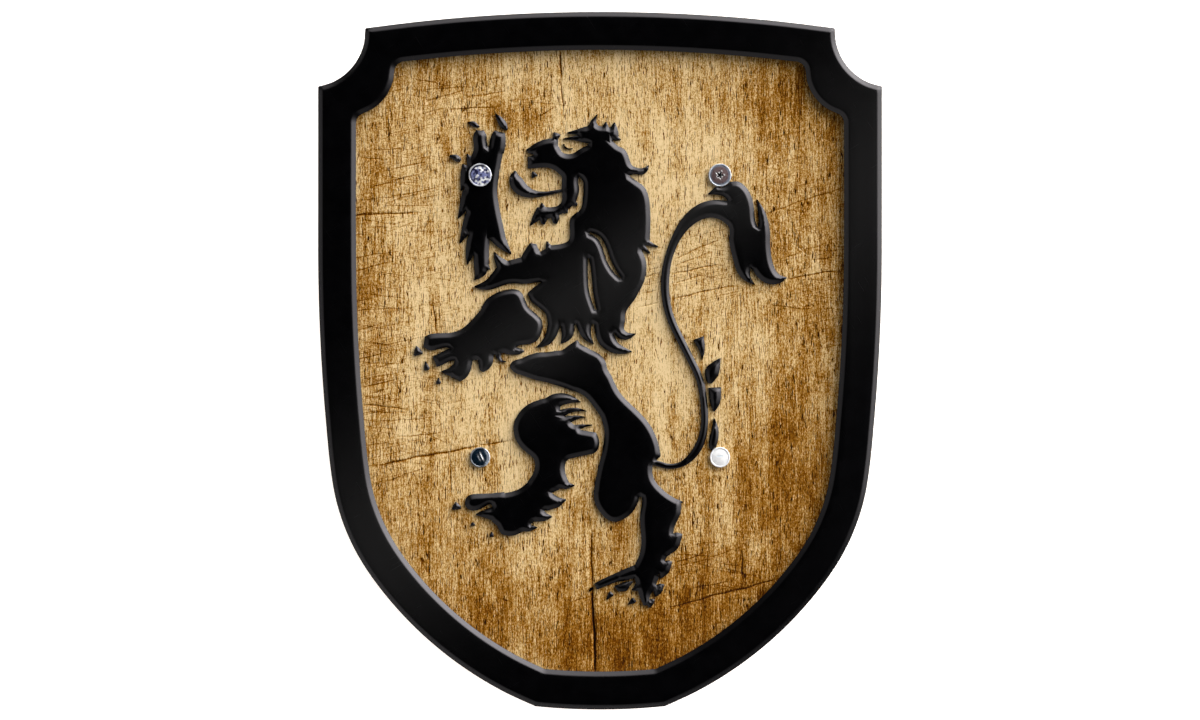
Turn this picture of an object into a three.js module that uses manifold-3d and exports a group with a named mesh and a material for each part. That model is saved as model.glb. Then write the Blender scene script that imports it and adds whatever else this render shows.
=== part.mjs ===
// Toy heater shield: a plain wooden board with a black rim frame and a black lion rampant in low relief on
// its face, four polished rivets, and two leather arm straps behind. It lies on its straps, face up.
// Millimetres. +Z is the way the face looks, +Y the way to its top edge, +X to its right seen from the front.

import * as THREE from 'three';
import { mergeVertices } from 'three/addons/utils/BufferGeometryUtils.js';
import Module from 'manifold-3d';

// Outline of the shield, right half. Heights are measured from the middle of its length.
const HALF_LENGTH = 174.45;
const HALF_WIDTH = 141;
const TOP_RADIUS = 846.3;
const BOTTOM_RADIUS = 323.1;
const NOTCH = { x: 145.44, y: 164.8, radius: 28, corner: 0.6 };
const INNER_NOTCH = { x: 126, y: 145.7, radius: 23.2, corner: 5 };
const SIDE_STRAIGHT_END = 56.9;
const FLANK_BENDS = [{ radius: 983, degrees: 6.59 }, { radius: 110.7, degrees: 28.46 }];
const POINT_RADIUS = 187.75;
const ARC_STEPS = { top: 5, notch: 6, corner: 4, flank: 5, point: 7, bottom: 3 };

// Board, frame and relief.
const BOARD_THICKNESS = 6;
const FRAME_WIDTH = 19;
const FRAME_HEIGHT = 5;
const BEVEL = 2.5;
const RELIEF_HEIGHT = 3;
const STROKE_STEP = 5;
const RIDGE_HALF_WIDTH = 0.05;
const TIP_HALF_WIDTH = 0.2;
const LION_RISE = 0.35;

// Rivets and straps.
const RIVET_X = 60;
const RIVET_TOP_Y = 92.85;
const RIVET_BOTTOM_Y = -48.35;
const RIVET_HEAD_RADIUS = { upper: 5.8, lower: 5.1 };
const RIVET_HEAD_HEIGHT = 1.8;
const RIVET_RIM = { side: 0.9, round: 0.5, top: 1.62, width: 1.1, groove: 1.35 };
const RIVET_DOME = { radius: 2.4, height: 1.71 };
const RIVET_SHANK_RADIUS = 2.5;
const RIVET_END = 0.8;
const CLEARANCE = 0.3;
const WASHER_RADIUS = 6;
const WASHER_THICKNESS = 1.2;
const WASHER_ROUND = { width: 0.7, side: 0.48 };
const STRAP_WIDTH = 28;
const STRAP_THICKNESS = 3;
const STRAP_DROP = 42;
const STRAP_BEND_RADIUS = 12;
const STRAP_BEND_DEGREES = 70;
const STRAP_TAB_INNER = 10;
const STRAP_TAB_OUTER = 14;
const STRAP_BEND_STEPS = 4;
const ROUND_SIDES = 16;
const CUT_OVERRUN = 1;

// Levels: the straps' crowns lie on the ground at zero.
const BACK_Z = STRAP_DROP + STRAP_THICKNESS;
const FACE_Z = BACK_Z + BOARD_THICKNESS;

const wasm = await Module();
wasm.setup();

// Materials.
const wood = new THREE.MeshStandardMaterial({ color: 0xd9b884, roughness: 0.6, metalness: 0 });
const blackPaint = new THREE.MeshStandardMaterial({ color: 0x0d0d10, roughness: 0.35, metalness: 0 });
const steel = new THREE.MeshStandardMaterial({ color: 0xc9cdd4, roughness: 0.15, metalness: 1 });
const leather = new THREE.MeshStandardMaterial({ color: 0x2a1b12, roughness: 0.7, metalness: 0 });

// A closed three.js geometry as a solid that can be joined and cut.
function solidFrom(geometry) {
  const bare = new THREE.BufferGeometry();
  bare.setAttribute('position', geometry.getAttribute('position'));
  bare.setIndex(geometry.index);
  const merged = mergeVertices(bare, 1e-4);
  const vertProperties = new Float32Array(merged.getAttribute('position').array);
  const triVerts = new Uint32Array(merged.index.array);
  return new wasm.Manifold(new wasm.Mesh({ numProp: 3, vertProperties, triVerts }));
}

// A solid back as a three.js geometry.
function geometryFrom(solid) {
  const mesh = solid.getMesh();
  const geometry = new THREE.BufferGeometry();
  geometry.setAttribute('position', new THREE.BufferAttribute(new Float32Array(mesh.vertProperties), 3));
  geometry.setIndex(new THREE.BufferAttribute(new Uint32Array(mesh.triVerts), 1));
  return geometry;
}

function join(geometries) {
  return geometries.map(solidFrom).reduce((whole, solid) => whole.add(solid));
}

function cut(solid, geometries) {
  return geometries.map(solidFrom).reduce((rest, tool) => rest.subtract(tool), solid);
}

function named(name, geometry, material) {
  const mesh = new THREE.Mesh(geometry, material);
  mesh.name = name;
  return mesh;
}

// A closed skin through rings of equal length. Each ring runs clockwise as seen looking along the loft.
function loft(rings) {
  const size = rings[0].length;
  const last = (rings.length - 1) * size;
  const index = [];
  for (let i = 0; i < last; i += size) {
    for (let k = 0; k < size; k += 1) {
      const next = (k + 1) % size;
      index.push(i + k, i + next, i + size + next, i + k, i + size + next, i + size + k);
    }
  }
  for (let k = 1; k < size - 1; k += 1) {
    index.push(0, k + 1, k, last, last + k, last + k + 1);
  }
  const geometry = new THREE.BufferGeometry();
  geometry.setAttribute('position', new THREE.Float32BufferAttribute(rings.flat(2), 3));
  geometry.setIndex(index);
  return geometry;
}

// Section of the relief between two edge points: bevelled sides, and a flat or a ridge on top.
function reliefSection(left, right) {
  const half = left.distanceTo(right) / 2;
  const bevel = Math.min(BEVEL, half - RIDGE_HALF_WIDTH);
  const height = (RELIEF_HEIGHT * bevel) / BEVEL;
  const topLeft = left.clone().lerp(right, bevel / (2 * half));
  const topRight = right.clone().lerp(left, bevel / (2 * half));
  return [
    [left.x, left.y, 0],
    [topLeft.x, topLeft.y, height],
    [topRight.x, topRight.y, height],
    [right.x, right.y, 0],
  ];
}

// Section of a slit: it opens from the board's face upwards at the relief's bevel.
function slitSection(left, right) {
  const half = left.distanceTo(right) / 2;
  const topLeft = left.clone().lerp(right, -BEVEL / half);
  const topRight = right.clone().lerp(left, -BEVEL / half);
  return [
    [left.x, left.y, -CUT_OVERRUN],
    [left.x, left.y, 0],
    [topLeft.x, topLeft.y, 2 * RELIEF_HEIGHT],
    [topRight.x, topRight.y, 2 * RELIEF_HEIGHT],
    [right.x, right.y, 0],
    [right.x, right.y, -CUT_OVERRUN],
  ];
}

// Stroke along a middle line: rows of [x, y, half width], each section square to the line.
function strokeWith(section, rows) {
  const middle = rows.map(([x, y]) => new THREE.Vector2(x, y));
  const lengths = middle.slice(1).map((point, i) => point.distanceTo(middle[i]));
  const length = lengths.reduce((sum, part) => sum + part, 0);
  const knots = rows.map((row) => new THREE.Vector3(...row));
  const curve = new THREE.CatmullRomCurve3(knots, false, 'centripetal');
  const points = curve.getPoints(Math.max(rows.length - 1, Math.ceil(length / STROKE_STEP)));
  return loft(points.map((point, i) => {
    const before = points[Math.max(i - 1, 0)];
    const after = points[Math.min(i + 1, points.length - 1)];
    const along = new THREE.Vector2(after.x - before.x, after.y - before.y).normalize();
    const side = new THREE.Vector2(-along.y, along.x).multiplyScalar(point.z);
    const centre = new THREE.Vector2(point.x, point.y);
    return section(centre.clone().add(side), centre.clone().sub(side));
  }));
}

const stroke = (...rows) => strokeWith(reliefSection, rows);
const slit = (...rows) => strokeWith(slitSection, rows);

// Broad mass in level slices, from the top down: rows of [y, left edge, right edge].
function mass(...rows) {
  return loft(rows.map(([y, left, right]) => (
    reliefSection(new THREE.Vector2(right, y), new THREE.Vector2(left, y))
  )));
}

// The same in upright slices, from right to left: rows of [x, lower edge, upper edge].
function massAcross(...rows) {
  return loft(rows.map(([x, low, high]) => (
    reliefSection(new THREE.Vector2(x, low), new THREE.Vector2(x, high))
  )));
}

// Pointed lock of fur from a root to a tip, bowed sideways by a given amount to the left of its way.
// Its form gives, at shares of the way, the share of the bow and of the width.
const LOCK_FORM = [[0, 0, 1], [0.4, 0.9, 0.78], [0.75, 0.8, 0.4]];

function lock([tipX, tipY], [rootX, rootY], width, bow = 0) {
  const along = new THREE.Vector2(tipX - rootX, tipY - rootY);
  const left = new THREE.Vector2(-along.y, along.x).normalize().multiplyScalar(bow);
  const body = LOCK_FORM.map(([way, bend, share]) => (
    [rootX + along.x * way + left.x * bend, rootY + along.y * way + left.y * bend, width * share]
  ));
  return stroke(...body, [tipX, tipY, TIP_HALF_WIDTH]);
}

// Small claw: a point that widens to a blunt foot. Its form gives shares of the way and of the width.
const CLAW_FORM = [[0.45, 0.7], [0.85, 1], [1, 0.75]];

function claw([tipX, tipY], [footX, footY], width) {
  const body = CLAW_FORM.map(([way, share]) => (
    [tipX + (footX - tipX) * way, tipY + (footY - tipY) * way, width * share]
  ));
  return stroke([tipX, tipY, TIP_HALF_WIDTH], ...body);
}

// Spur of fur that points up and out behind the standing leg, in shares of its drop.
const SPUR_FORM = [[1.1, 0.7, 0.58], [0.5, 0.4, 0.46], [0.2, 0.08, 0.24]];

function spur([tipX, tipY], drop) {
  const body = SPUR_FORM.map(([inward, down, half]) => (
    [tipX - drop * inward, tipY - drop * down, drop * half]
  ));
  return stroke(...body, [tipX, tipY, TIP_HALF_WIDTH]);
}

// Outline of the shield, drawn in by a given distance all round. Each arc keeps its centre, but the panel
// inside the frame has notches of its own, with rounder corners.
function outline(inset) {
  const arc = (x, y, radius, from, to, steps) => Array.from({ length: steps + 1 }, (_, i) => {
    const angle = from + ((to - from) * i) / steps;
    return new THREE.Vector2(x + radius * Math.cos(angle), y + radius * Math.sin(angle));
  });
  const meet = (a, b, side) => {
    const between = new THREE.Vector2(b.x - a.x, b.y - a.y);
    const gap = between.length();
    const reach = (gap * gap + a.radius * a.radius - b.radius * b.radius) / (2 * gap);
    const turn = side * Math.acos(reach / a.radius);
    const angle = between.angle() + turn;
    return new THREE.Vector2(a.x + a.radius * Math.cos(angle), a.y + a.radius * Math.sin(angle));
  };
  const angleFrom = (circle, point) => Math.atan2(point.y - circle.y, point.x - circle.x);

  const top = { x: 0, y: HALF_LENGTH - TOP_RADIUS, radius: TOP_RADIUS - inset };
  const bottom = { x: 0, y: BOTTOM_RADIUS - HALF_LENGTH, radius: BOTTOM_RADIUS - inset };
  const inner = inset > FRAME_WIDTH / 2;
  const beyond = inner ? inset - FRAME_WIDTH : inset;
  const base = inner ? INNER_NOTCH : NOTCH;
  const notch = { ...base, radius: base.radius + beyond };
  const corner = inner ? base.corner - beyond : base.corner;
  const clear = { ...notch, radius: notch.radius + corner };
  const upper = meet({ ...top, radius: top.radius - corner }, clear, 1);
  const sideX = HALF_WIDTH - inset;
  const lowerX = sideX - corner;
  const lowerDrop = Math.sqrt(clear.radius ** 2 - (lowerX - notch.x) ** 2);
  const lower = new THREE.Vector2(lowerX, notch.y - lowerDrop);

  const topEnd = angleFrom(top, upper);
  const notchStart = angleFrom(upper, notch);
  const notchEnd = angleFrom(lower, notch);
  const right = arc(top.x, top.y, top.radius, Math.PI / 2, topEnd, ARC_STEPS.top);
  right.push(...arc(upper.x, upper.y, corner, topEnd, notchStart, ARC_STEPS.corner).slice(1));
  const bulgeStart = notchStart + Math.PI;
  const bulgeEnd = notchEnd + Math.PI;
  right.push(...arc(notch.x, notch.y, notch.radius, bulgeStart, bulgeEnd, ARC_STEPS.notch).slice(1));
  right.push(...arc(lower.x, lower.y, corner, notchEnd, 0, ARC_STEPS.corner).slice(1));

  let heading = 0;
  let centreX = HALF_WIDTH;
  let centreY = SIDE_STRAIGHT_END;
  let lastRadius = 0;
  for (const { radius, degrees } of FLANK_BENDS) {
    centreX -= (radius - lastRadius) * Math.cos(heading);
    centreY -= (radius - lastRadius) * Math.sin(heading);
    const turned = heading - THREE.MathUtils.degToRad(degrees);
    const bend = arc(centreX, centreY, radius - inset, heading, turned, ARC_STEPS.flank);
    right.push(...bend.slice(lastRadius ? 1 : 0));
    heading = turned;
    lastRadius = radius;
  }
  const point = {
    x: centreX - (POINT_RADIUS - lastRadius) * Math.cos(heading),
    y: centreY - (POINT_RADIUS - lastRadius) * Math.sin(heading),
    radius: POINT_RADIUS - inset,
  };
  const pointCorner = meet(bottom, point, 1);
  const pointEnd = angleFrom(point, pointCorner);
  right.push(...arc(point.x, point.y, point.radius, heading, pointEnd, ARC_STEPS.point).slice(1));
  const bottomStart = angleFrom(bottom, pointCorner);
  right.push(...arc(0, bottom.y, bottom.radius, bottomStart, -Math.PI / 2, ARC_STEPS.bottom).slice(1));

  const left = right.slice(1, -1).reverse().map(({ x, y }) => new THREE.Vector2(-x, y));
  return [...right, ...left];
}

// Frame: its section is carried round the outline, bevelled along both upper edges.
function frameGeometry() {
  const wall = FRAME_HEIGHT - BEVEL;
  const section = [
    [0, 0],
    [0, wall],
    [BEVEL, FRAME_HEIGHT],
    [FRAME_WIDTH - BEVEL, FRAME_HEIGHT],
    [FRAME_WIDTH, wall],
    [FRAME_WIDTH, 0],
  ];
  const loops = section.map(([inset, z]) => outline(inset).map(({ x, y }) => [x, y, z]));
  const count = loops[0].length;
  const index = [];
  loops.forEach((_, k) => {
    const next = (k + 1) % loops.length;
    for (let i = 0; i < count; i += 1) {
      const j = (i + 1) % count;
      const [a, b, c, d] = [k * count + i, k * count + j, next * count + j, next * count + i];
      index.push(a, c, b, a, d, c);
    }
  });
  const geometry = new THREE.BufferGeometry();
  geometry.setAttribute('position', new THREE.Float32BufferAttribute(loops.flat(2), 3));
  geometry.setIndex(index);
  return geometry;
}

const upperRivet = { y: RIVET_TOP_Y, head: RIVET_HEAD_RADIUS.upper };
const lowerRivet = { y: RIVET_BOTTOM_Y, head: RIVET_HEAD_RADIUS.lower };
const rivetPlaces = [
  { name: 'upper_left', x: -RIVET_X, ...upperRivet, seat: RELIEF_HEIGHT },
  { name: 'upper_right', x: RIVET_X, ...upperRivet, seat: 0 },
  { name: 'lower_left', x: -RIVET_X, ...lowerRivet, seat: 0 },
  { name: 'lower_right', x: RIVET_X, ...lowerRivet, seat: 0 },
];

// Board: the full outline with a hole for each rivet.
function boardGeometry() {
  const shape = new THREE.Shape(outline(0));
  const blank = new THREE.ExtrudeGeometry(shape, { depth: BOARD_THICKNESS, bevelEnabled: false });
  const holes = rivetPlaces.map(({ x, y }) => (
    bore(x, y, RIVET_SHANK_RADIUS + CLEARANCE, -CUT_OVERRUN, BOARD_THICKNESS + CUT_OVERRUN)
  ));
  return geometryFrom(cut(solidFrom(blank), holes));
}

// Rivet: a rimmed, shallow-domed head above its seat and a shank down through board, strap and washer.
function rivetGeometry(seat, head) {
  const end = -(BOARD_THICKNESS + STRAP_THICKNESS + WASHER_THICKNESS + RIVET_END) - seat;
  const profile = [
    [0, end],
    [RIVET_SHANK_RADIUS, end + RIVET_END / 2],
    [RIVET_SHANK_RADIUS, 0],
    [head, 0],
    [head, RIVET_RIM.side],
    [head - RIVET_RIM.round, RIVET_RIM.top],
    [head - RIVET_RIM.width, RIVET_RIM.groove],
    [RIVET_DOME.radius, RIVET_DOME.height],
    [0, RIVET_HEAD_HEIGHT],
  ];
  const points = profile.map(([radius, height]) => new THREE.Vector2(radius, height));
  return new THREE.LatheGeometry(points, ROUND_SIDES).rotateX(Math.PI / 2);
}

// Washer on the strap's outer face, its edge rounded off on the side away from the strap.
function washerGeometry() {
  const hole = RIVET_SHANK_RADIUS + CLEARANCE;
  const profile = [
    [hole, 0],
    [hole, -WASHER_THICKNESS],
    [WASHER_RADIUS - WASHER_ROUND.width, -WASHER_THICKNESS],
    [WASHER_RADIUS, -WASHER_ROUND.side],
    [WASHER_RADIUS, 0],
    [hole, 0],
  ];
  const points = profile.map(([radius, height]) => new THREE.Vector2(radius, height));
  return new THREE.LatheGeometry(points, ROUND_SIDES).rotateX(Math.PI / 2);
}

// Upright cylinder, for holes and for the room that a rivet's head needs.
function bore(x, y, radius, from, to) {
  const geometry = new THREE.CylinderGeometry(radius, radius, to - from, ROUND_SIDES).rotateX(Math.PI / 2);
  return geometry.translate(x, y, (from + to) / 2);
}

// Strap seen from its edge: tabs flat on the board's back, S-bends down, and a flat crown on the ground.
function strapGeometry() {
  const bend = THREE.MathUtils.degToRad(STRAP_BEND_DEGREES);
  const half = (RIVET_TOP_Y - RIVET_BOTTOM_Y) / 2;
  const drop = STRAP_DROP - 2 * STRAP_BEND_RADIUS * (1 - Math.cos(bend));
  const slope = drop / Math.tan(bend);
  const run = 2 * STRAP_BEND_RADIUS * Math.sin(bend) + slope;
  const bendStart = half - STRAP_TAB_INNER;
  const bendEnd = bendStart - run;
  const near = STRAP_BEND_RADIUS - STRAP_THICKNESS / 2;
  const far = STRAP_BEND_RADIUS + STRAP_THICKNESS / 2;
  const upper = { y: bendStart, z: BACK_Z - STRAP_THICKNESS / 2 - STRAP_BEND_RADIUS };
  const lower = { y: bendEnd, z: STRAP_THICKNESS / 2 + STRAP_BEND_RADIUS };
  const sweep = (centre, radius, from, to) => Array.from({ length: STRAP_BEND_STEPS + 1 }, (_, i) => {
    const angle = from + ((to - from) * i) / STRAP_BEND_STEPS;
    return new THREE.Vector2(centre.y + radius * Math.sin(angle), centre.z + radius * Math.cos(angle));
  });
  const inside = [
    new THREE.Vector2(half + STRAP_TAB_OUTER, BACK_Z),
    ...sweep(upper, far, 0, -bend),
    ...sweep(lower, near, Math.PI - bend, Math.PI),
  ];
  const outside = [
    ...sweep(lower, far, Math.PI, Math.PI - bend),
    ...sweep(upper, near, -bend, 0),
    new THREE.Vector2(half + STRAP_TAB_OUTER, BACK_Z - STRAP_THICKNESS),
  ];
  const mirrored = (points) => points.map(({ x, y }) => new THREE.Vector2(-x, y)).reverse();
  const profile = new THREE.Shape([...inside, ...mirrored(inside), ...mirrored(outside), ...outside]);
  const ribbon = new THREE.ExtrudeGeometry(profile, { depth: STRAP_WIDTH, bevelEnabled: false });
  ribbon.translate(0, 0, -STRAP_WIDTH / 2);
  ribbon.rotateX(Math.PI / 2).rotateZ(Math.PI / 2);

  const end = half + STRAP_TAB_OUTER;
  const round = STRAP_WIDTH / 2;
  const plan = new THREE.Shape();
  plan.absarc(0, end - round, round, 0, Math.PI, false);
  plan.absarc(0, -(end - round), round, Math.PI, 2 * Math.PI, false);
  const depth = BACK_Z + 2 * CUT_OVERRUN;
  const curveSegments = ROUND_SIDES / 2;
  const blank = new THREE.ExtrudeGeometry(plan, { depth, bevelEnabled: false, curveSegments });
  blank.translate(0, 0, -CUT_OVERRUN);
  const hole = RIVET_SHANK_RADIUS + CLEARANCE;
  const holes = [half, -half].map((y) => bore(0, y, hole, -CUT_OVERRUN, BACK_Z + CUT_OVERRUN));
  const solid = solidFrom(ribbon).intersect(solidFrom(blank));
  return geometryFrom(cut(solid, holes));
}

// Lion: each piece stands on the board's face. Coordinates are across and up from the middle of the shield.
function headAndMane() {
  const neck = mass(
    [116.2, -5, 5.5],
    [112.5, -5, 7.6],
    [109.7, -4.6, 6.2],
    [107.3, -6.5, 8.8],
    [105, -11, 12.7],
    [101, -16, 14.6],
    [96.5, -16, 16.5],
    [92.3, -11, 14.6],
    [89.5, -8.6, 18.5],
    [86.5, -8.3, 22.3],
    [81, -8.6, 24.5],
    [76, -9.5, 25.1],
    [71, -13, 25.3],
  );
  const breast = mass(
    [74, -11.5, 25.2],
    [71, -14.7, 25.3],
    [64, -15, 25.1],
    [60, -15.6, 24.8],
    [58.5, -18, 24.2],
    [57.5, -24.5, 23],
    [55, -26, 20.8],
    [51, -30, 22.6],
    [47, -31, 23.3],
    [42, -29, 22.8],
    [39.8, -28.3, 22.3],
  );
  const belly = mass(
    [42, -28.3, 22.8],
    [39.5, -28.5, 22.2],
    [36, -33.5, 20.6],
    [33.5, -36.3, 19.2],
    [30, -35, 17.2],
    [26.5, -31, 14.5],
    [23, -27.2, 12.4],
    [18, -26.2, 11.6],
  );
  const muzzle = massAcross(
    [-12, 92, 104],
    [-16, 92, 103],
    [-18.5, 91, 103.7],
    [-20.4, 93, 106.6],
    [-24, 95.6, 111],
    [-28, 96.3, 110.3],
    [-32, 96, 108.7],
    [-36.2, 95.7, 105.8],
  );
  const upperArm = stroke(
    [-22, 48, 9.5],
    [-30, 46.5, 7.3],
    [-37, 44.8, 6.9],
    [-43, 44.3, 6.1],
    [-49.3, 42.3, 5],
    [-54.5, 38.2, 3],
    [-58.5, 37, 2],
    [-62.8, 36.7, 0.3],
  );
  const jaw = stroke(
    [-14, 100, 5],
    [-14.6, 94, 4.4],
    [-15, 88, 4.1],
    [-14.9, 82, 4.3],
    [-16.8, 77.8, 2.8],
    [-21, 74.8, 2.2],
    [-27, 73.4, 3.2],
    [-32, 74, 2.4],
  );
  const tongue = stroke(
    [-17, 85.2, 0.6],
    [-25, 83.6, 1],
    [-31, 83, 1.5],
    [-37.2, 84.2, 2.9],
    [-41.3, 88, 3.7],
    [-42.8, 91.8, 2.5],
    [-42.4, 94.6, 0.3],
  );
  const head = [
    lock([-37, 105.1], [-31, 105], 3),
    stroke([-22.8, 107.5, 2], [-22.2, 111, 1.5], [-21.3, 113.5, 2]),
    stroke([-3, 111, 3.2], [-9, 110.9, 2], [-14, 111, 0.9], [-18.5, 110.5, 0.3]),
    stroke([4, 111, 4], [-3, 114.5, 3.6], [-9, 114.2, 2], [-16.3, 113.6, 0.3]),
    stroke([-1, 111, 5], [-3.8, 116, 3.5], [-3.2, 119, 1.6], [-1.4, 122.8, 0.2]),
    lock([3, 119.2], [2.5, 112], 3.2),
    lock([7.3, 118.9], [6.5, 112], 3),
    lock([10.4, 110.1], [3, 113], 3),
    stroke([14, 95.2, 3], [18, 94.6, 1.7], [21.5, 94.5, 1.6], [23.3, 95.8, 1], [24.4, 97.4, 0.2]),
  ];
  const beard = [
    lock([-29.1, 78.8], [-28.5, 73], 2.6),
    lock([-35, 67.2], [-29.5, 74.5], 2.6),
    stroke([-28, 73, 2.2], [-28.4, 70.2, 1.9], [-28.4, 67.8, 0.8]),
    stroke([-22.5, 73, 2.2], [-22.4, 70.5, 1.9], [-22.3, 68.2, 0.8]),
    stroke([-21, 74.5, 2], [-18.5, 74.3, 1.1], [-16, 74.4, 0.9]),
    stroke([-15.5, 79, 2], [-13.5, 78.2, 1.1], [-11.3, 78, 0.9]),
  ];
  const armFur = [
    lock([-52.8, 54], [-46.2, 45.5], 3.6, 1),
    stroke([-34, 48, 7], [-34, 53, 4.6], [-33.6, 56.5, 2.6], [-33.3, 58.3, 1.7]),
    lock([-26.6, 59.4], [-24.2, 52], 3),
  ];
  const maneFur = [
    stroke([22, 60, 3], [24.6, 58.3, 1.2], [27, 57.3, 0.7], [29, 56.6, 0.4]),
    stroke([20.5, 57, 2], [22.5, 55.6, 1], [25, 53.4, 0.4]),
    stroke([-22, 24, 4.5], [-23.4, 16, 2.9], [-25.7, 10.5, 2.5], [-28.8, 7.8, 1.4], [-32, 6.3, 0.2]),
    stroke([-16, 24, 4.5], [-16.3, 16.5, 3.6], [-16.5, 12.3, 2.8], [-18.3, 9.7, 1.3], [-19.6, 8.2, 0.2]),
    stroke([-8.5, 26, 5], [-8, 18, 4], [-7, 13, 2.6], [-5, 9.8, 1.3], [-3.2, 8, 0.2]),
    stroke([2, 26, 6], [2, 18, 4.9], [3, 10.9, 4.4], [7.3, 6.3, 3], [12.3, 4.6, 1.6], [16, 4.2, 0.2]),
    stroke([9, 26, 4], [8.5, 18, 4], [9.5, 14.3, 2.9], [13, 12, 2], [17.8, 13.1, 0.2]),
  ];
  const slits = [
    slit([-5.4, 63.5, 0.3], [-1, 61.6, 0.7], [2.3, 56, 0.9], [5.6, 47.1, 0.9], [10.4, 41, 0.3]),
    slit([-5.7, 50.9, 0.3], [-5.2, 44, 0.8], [-4.4, 34, 0.9], [-2, 25, 0.3]),
    slit([-39, 102.6, 0.9], [-35.5, 102.6, 0.8], [-33.3, 102.6, 0.3]),
  ];
  const body = [neck, breast, belly, muzzle, upperArm, jaw, tongue];
  return cut(join([...body, ...head, ...beard, ...armFur, ...maneFur]), slits);
}

function raisedForeleg() {
  const leg = mass(
    [106.5, -62.6, -48],
    [100, -65.5, -49.2],
    [92, -68.6, -50.6],
    [84, -67.6, -51.3],
    [76, -67.2, -50.3],
    [68, -66.6, -48.6],
    [60.5, -65.2, -47],
  );
  const toes = [
    stroke([-59.3, 104, 3.6], [-60.1, 110, 3.4], [-60, 113, 3.1], [-59.8, 114.9, 1.9]),
    stroke([-52, 104, 4], [-51.1, 109.5, 4], [-50.7, 112, 3.6], [-50.2, 114.2, 2.8]),
    lock([-66.6, 103.2], [-63, 96], 3),
  ];
  const fur = [
    lock([-69.6, 84.6], [-65.5, 97], 3.6),
    lock([-71.2, 70.6], [-65.3, 84], 3.6, 0.4),
    lock([-70.2, 58.4], [-64, 72], 3.6, 0.2),
    lock([-66.4, 47.8], [-62, 62], 4, -0.4),
    stroke([-60, 62, 5], [-59.4, 52, 3.8], [-59.4, 46, 3.7], [-60.7, 42.6, 2.1], [-63, 40, 0.2]),
    lock([-55, 45.3], [-60, 50], 3.2),
    lock([-44.4, 53], [-53.5, 65], 4.4, -0.4),
  ];
  return join([leg, ...toes, ...fur]);
}

function strikingForepaw() {
  const forearm = massAcross(
    [-29.2, 14, 20],
    [-31.5, 9.7, 22.6],
    [-36, 7.8, 26.7],
    [-38.8, 7.6, 33],
    [-41, 7, 35],
    [-46, 4, 35.3],
    [-52, 3, 33.5],
    [-57, 0.5, 30],
    [-60, 0, 25],
    [-64, 0, 20.2],
    [-69, 0, 15.8],
    [-75, 5, 13.5],
  );
  const toes = [
    stroke([-71, 9.6, 4.3], [-79, 9.8, 3.6], [-84.5, 8.8, 4.3], [-88, 9.2, 2.6]),
    stroke([-70, 4, 4], [-76, 2.2, 3], [-80, 0.3, 3], [-82.7, -0.9, 2.8]),
    stroke([-67.5, 3, 4.5], [-68.8, -3, 4.5], [-70.9, -6.6, 4.6], [-72.3, -9.8, 2.6]),
    stroke([-68, -3, 3], [-73, -5.7, 3.3], [-76.3, -6, 1.7], [-79.4, -5.7, 0.2]),
  ];
  const fur = [
    stroke([-57.5, 4, 4.4], [-57.4, -1, 3.8], [-58.4, -4, 2.4], [-59.3, -5.6, 0.9]),
    stroke([-51, 4, 2], [-50.6, 1.2, 1], [-49.3, -0.4, 0.7], [-47, -0.8, 0.3]),
    stroke([-47, 6, 3], [-43, 4.7, 2.2], [-40, 4.4, 1.5], [-38, 4.5, 0.4]),
  ];
  return join([forearm, ...toes, ...fur]);
}

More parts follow.
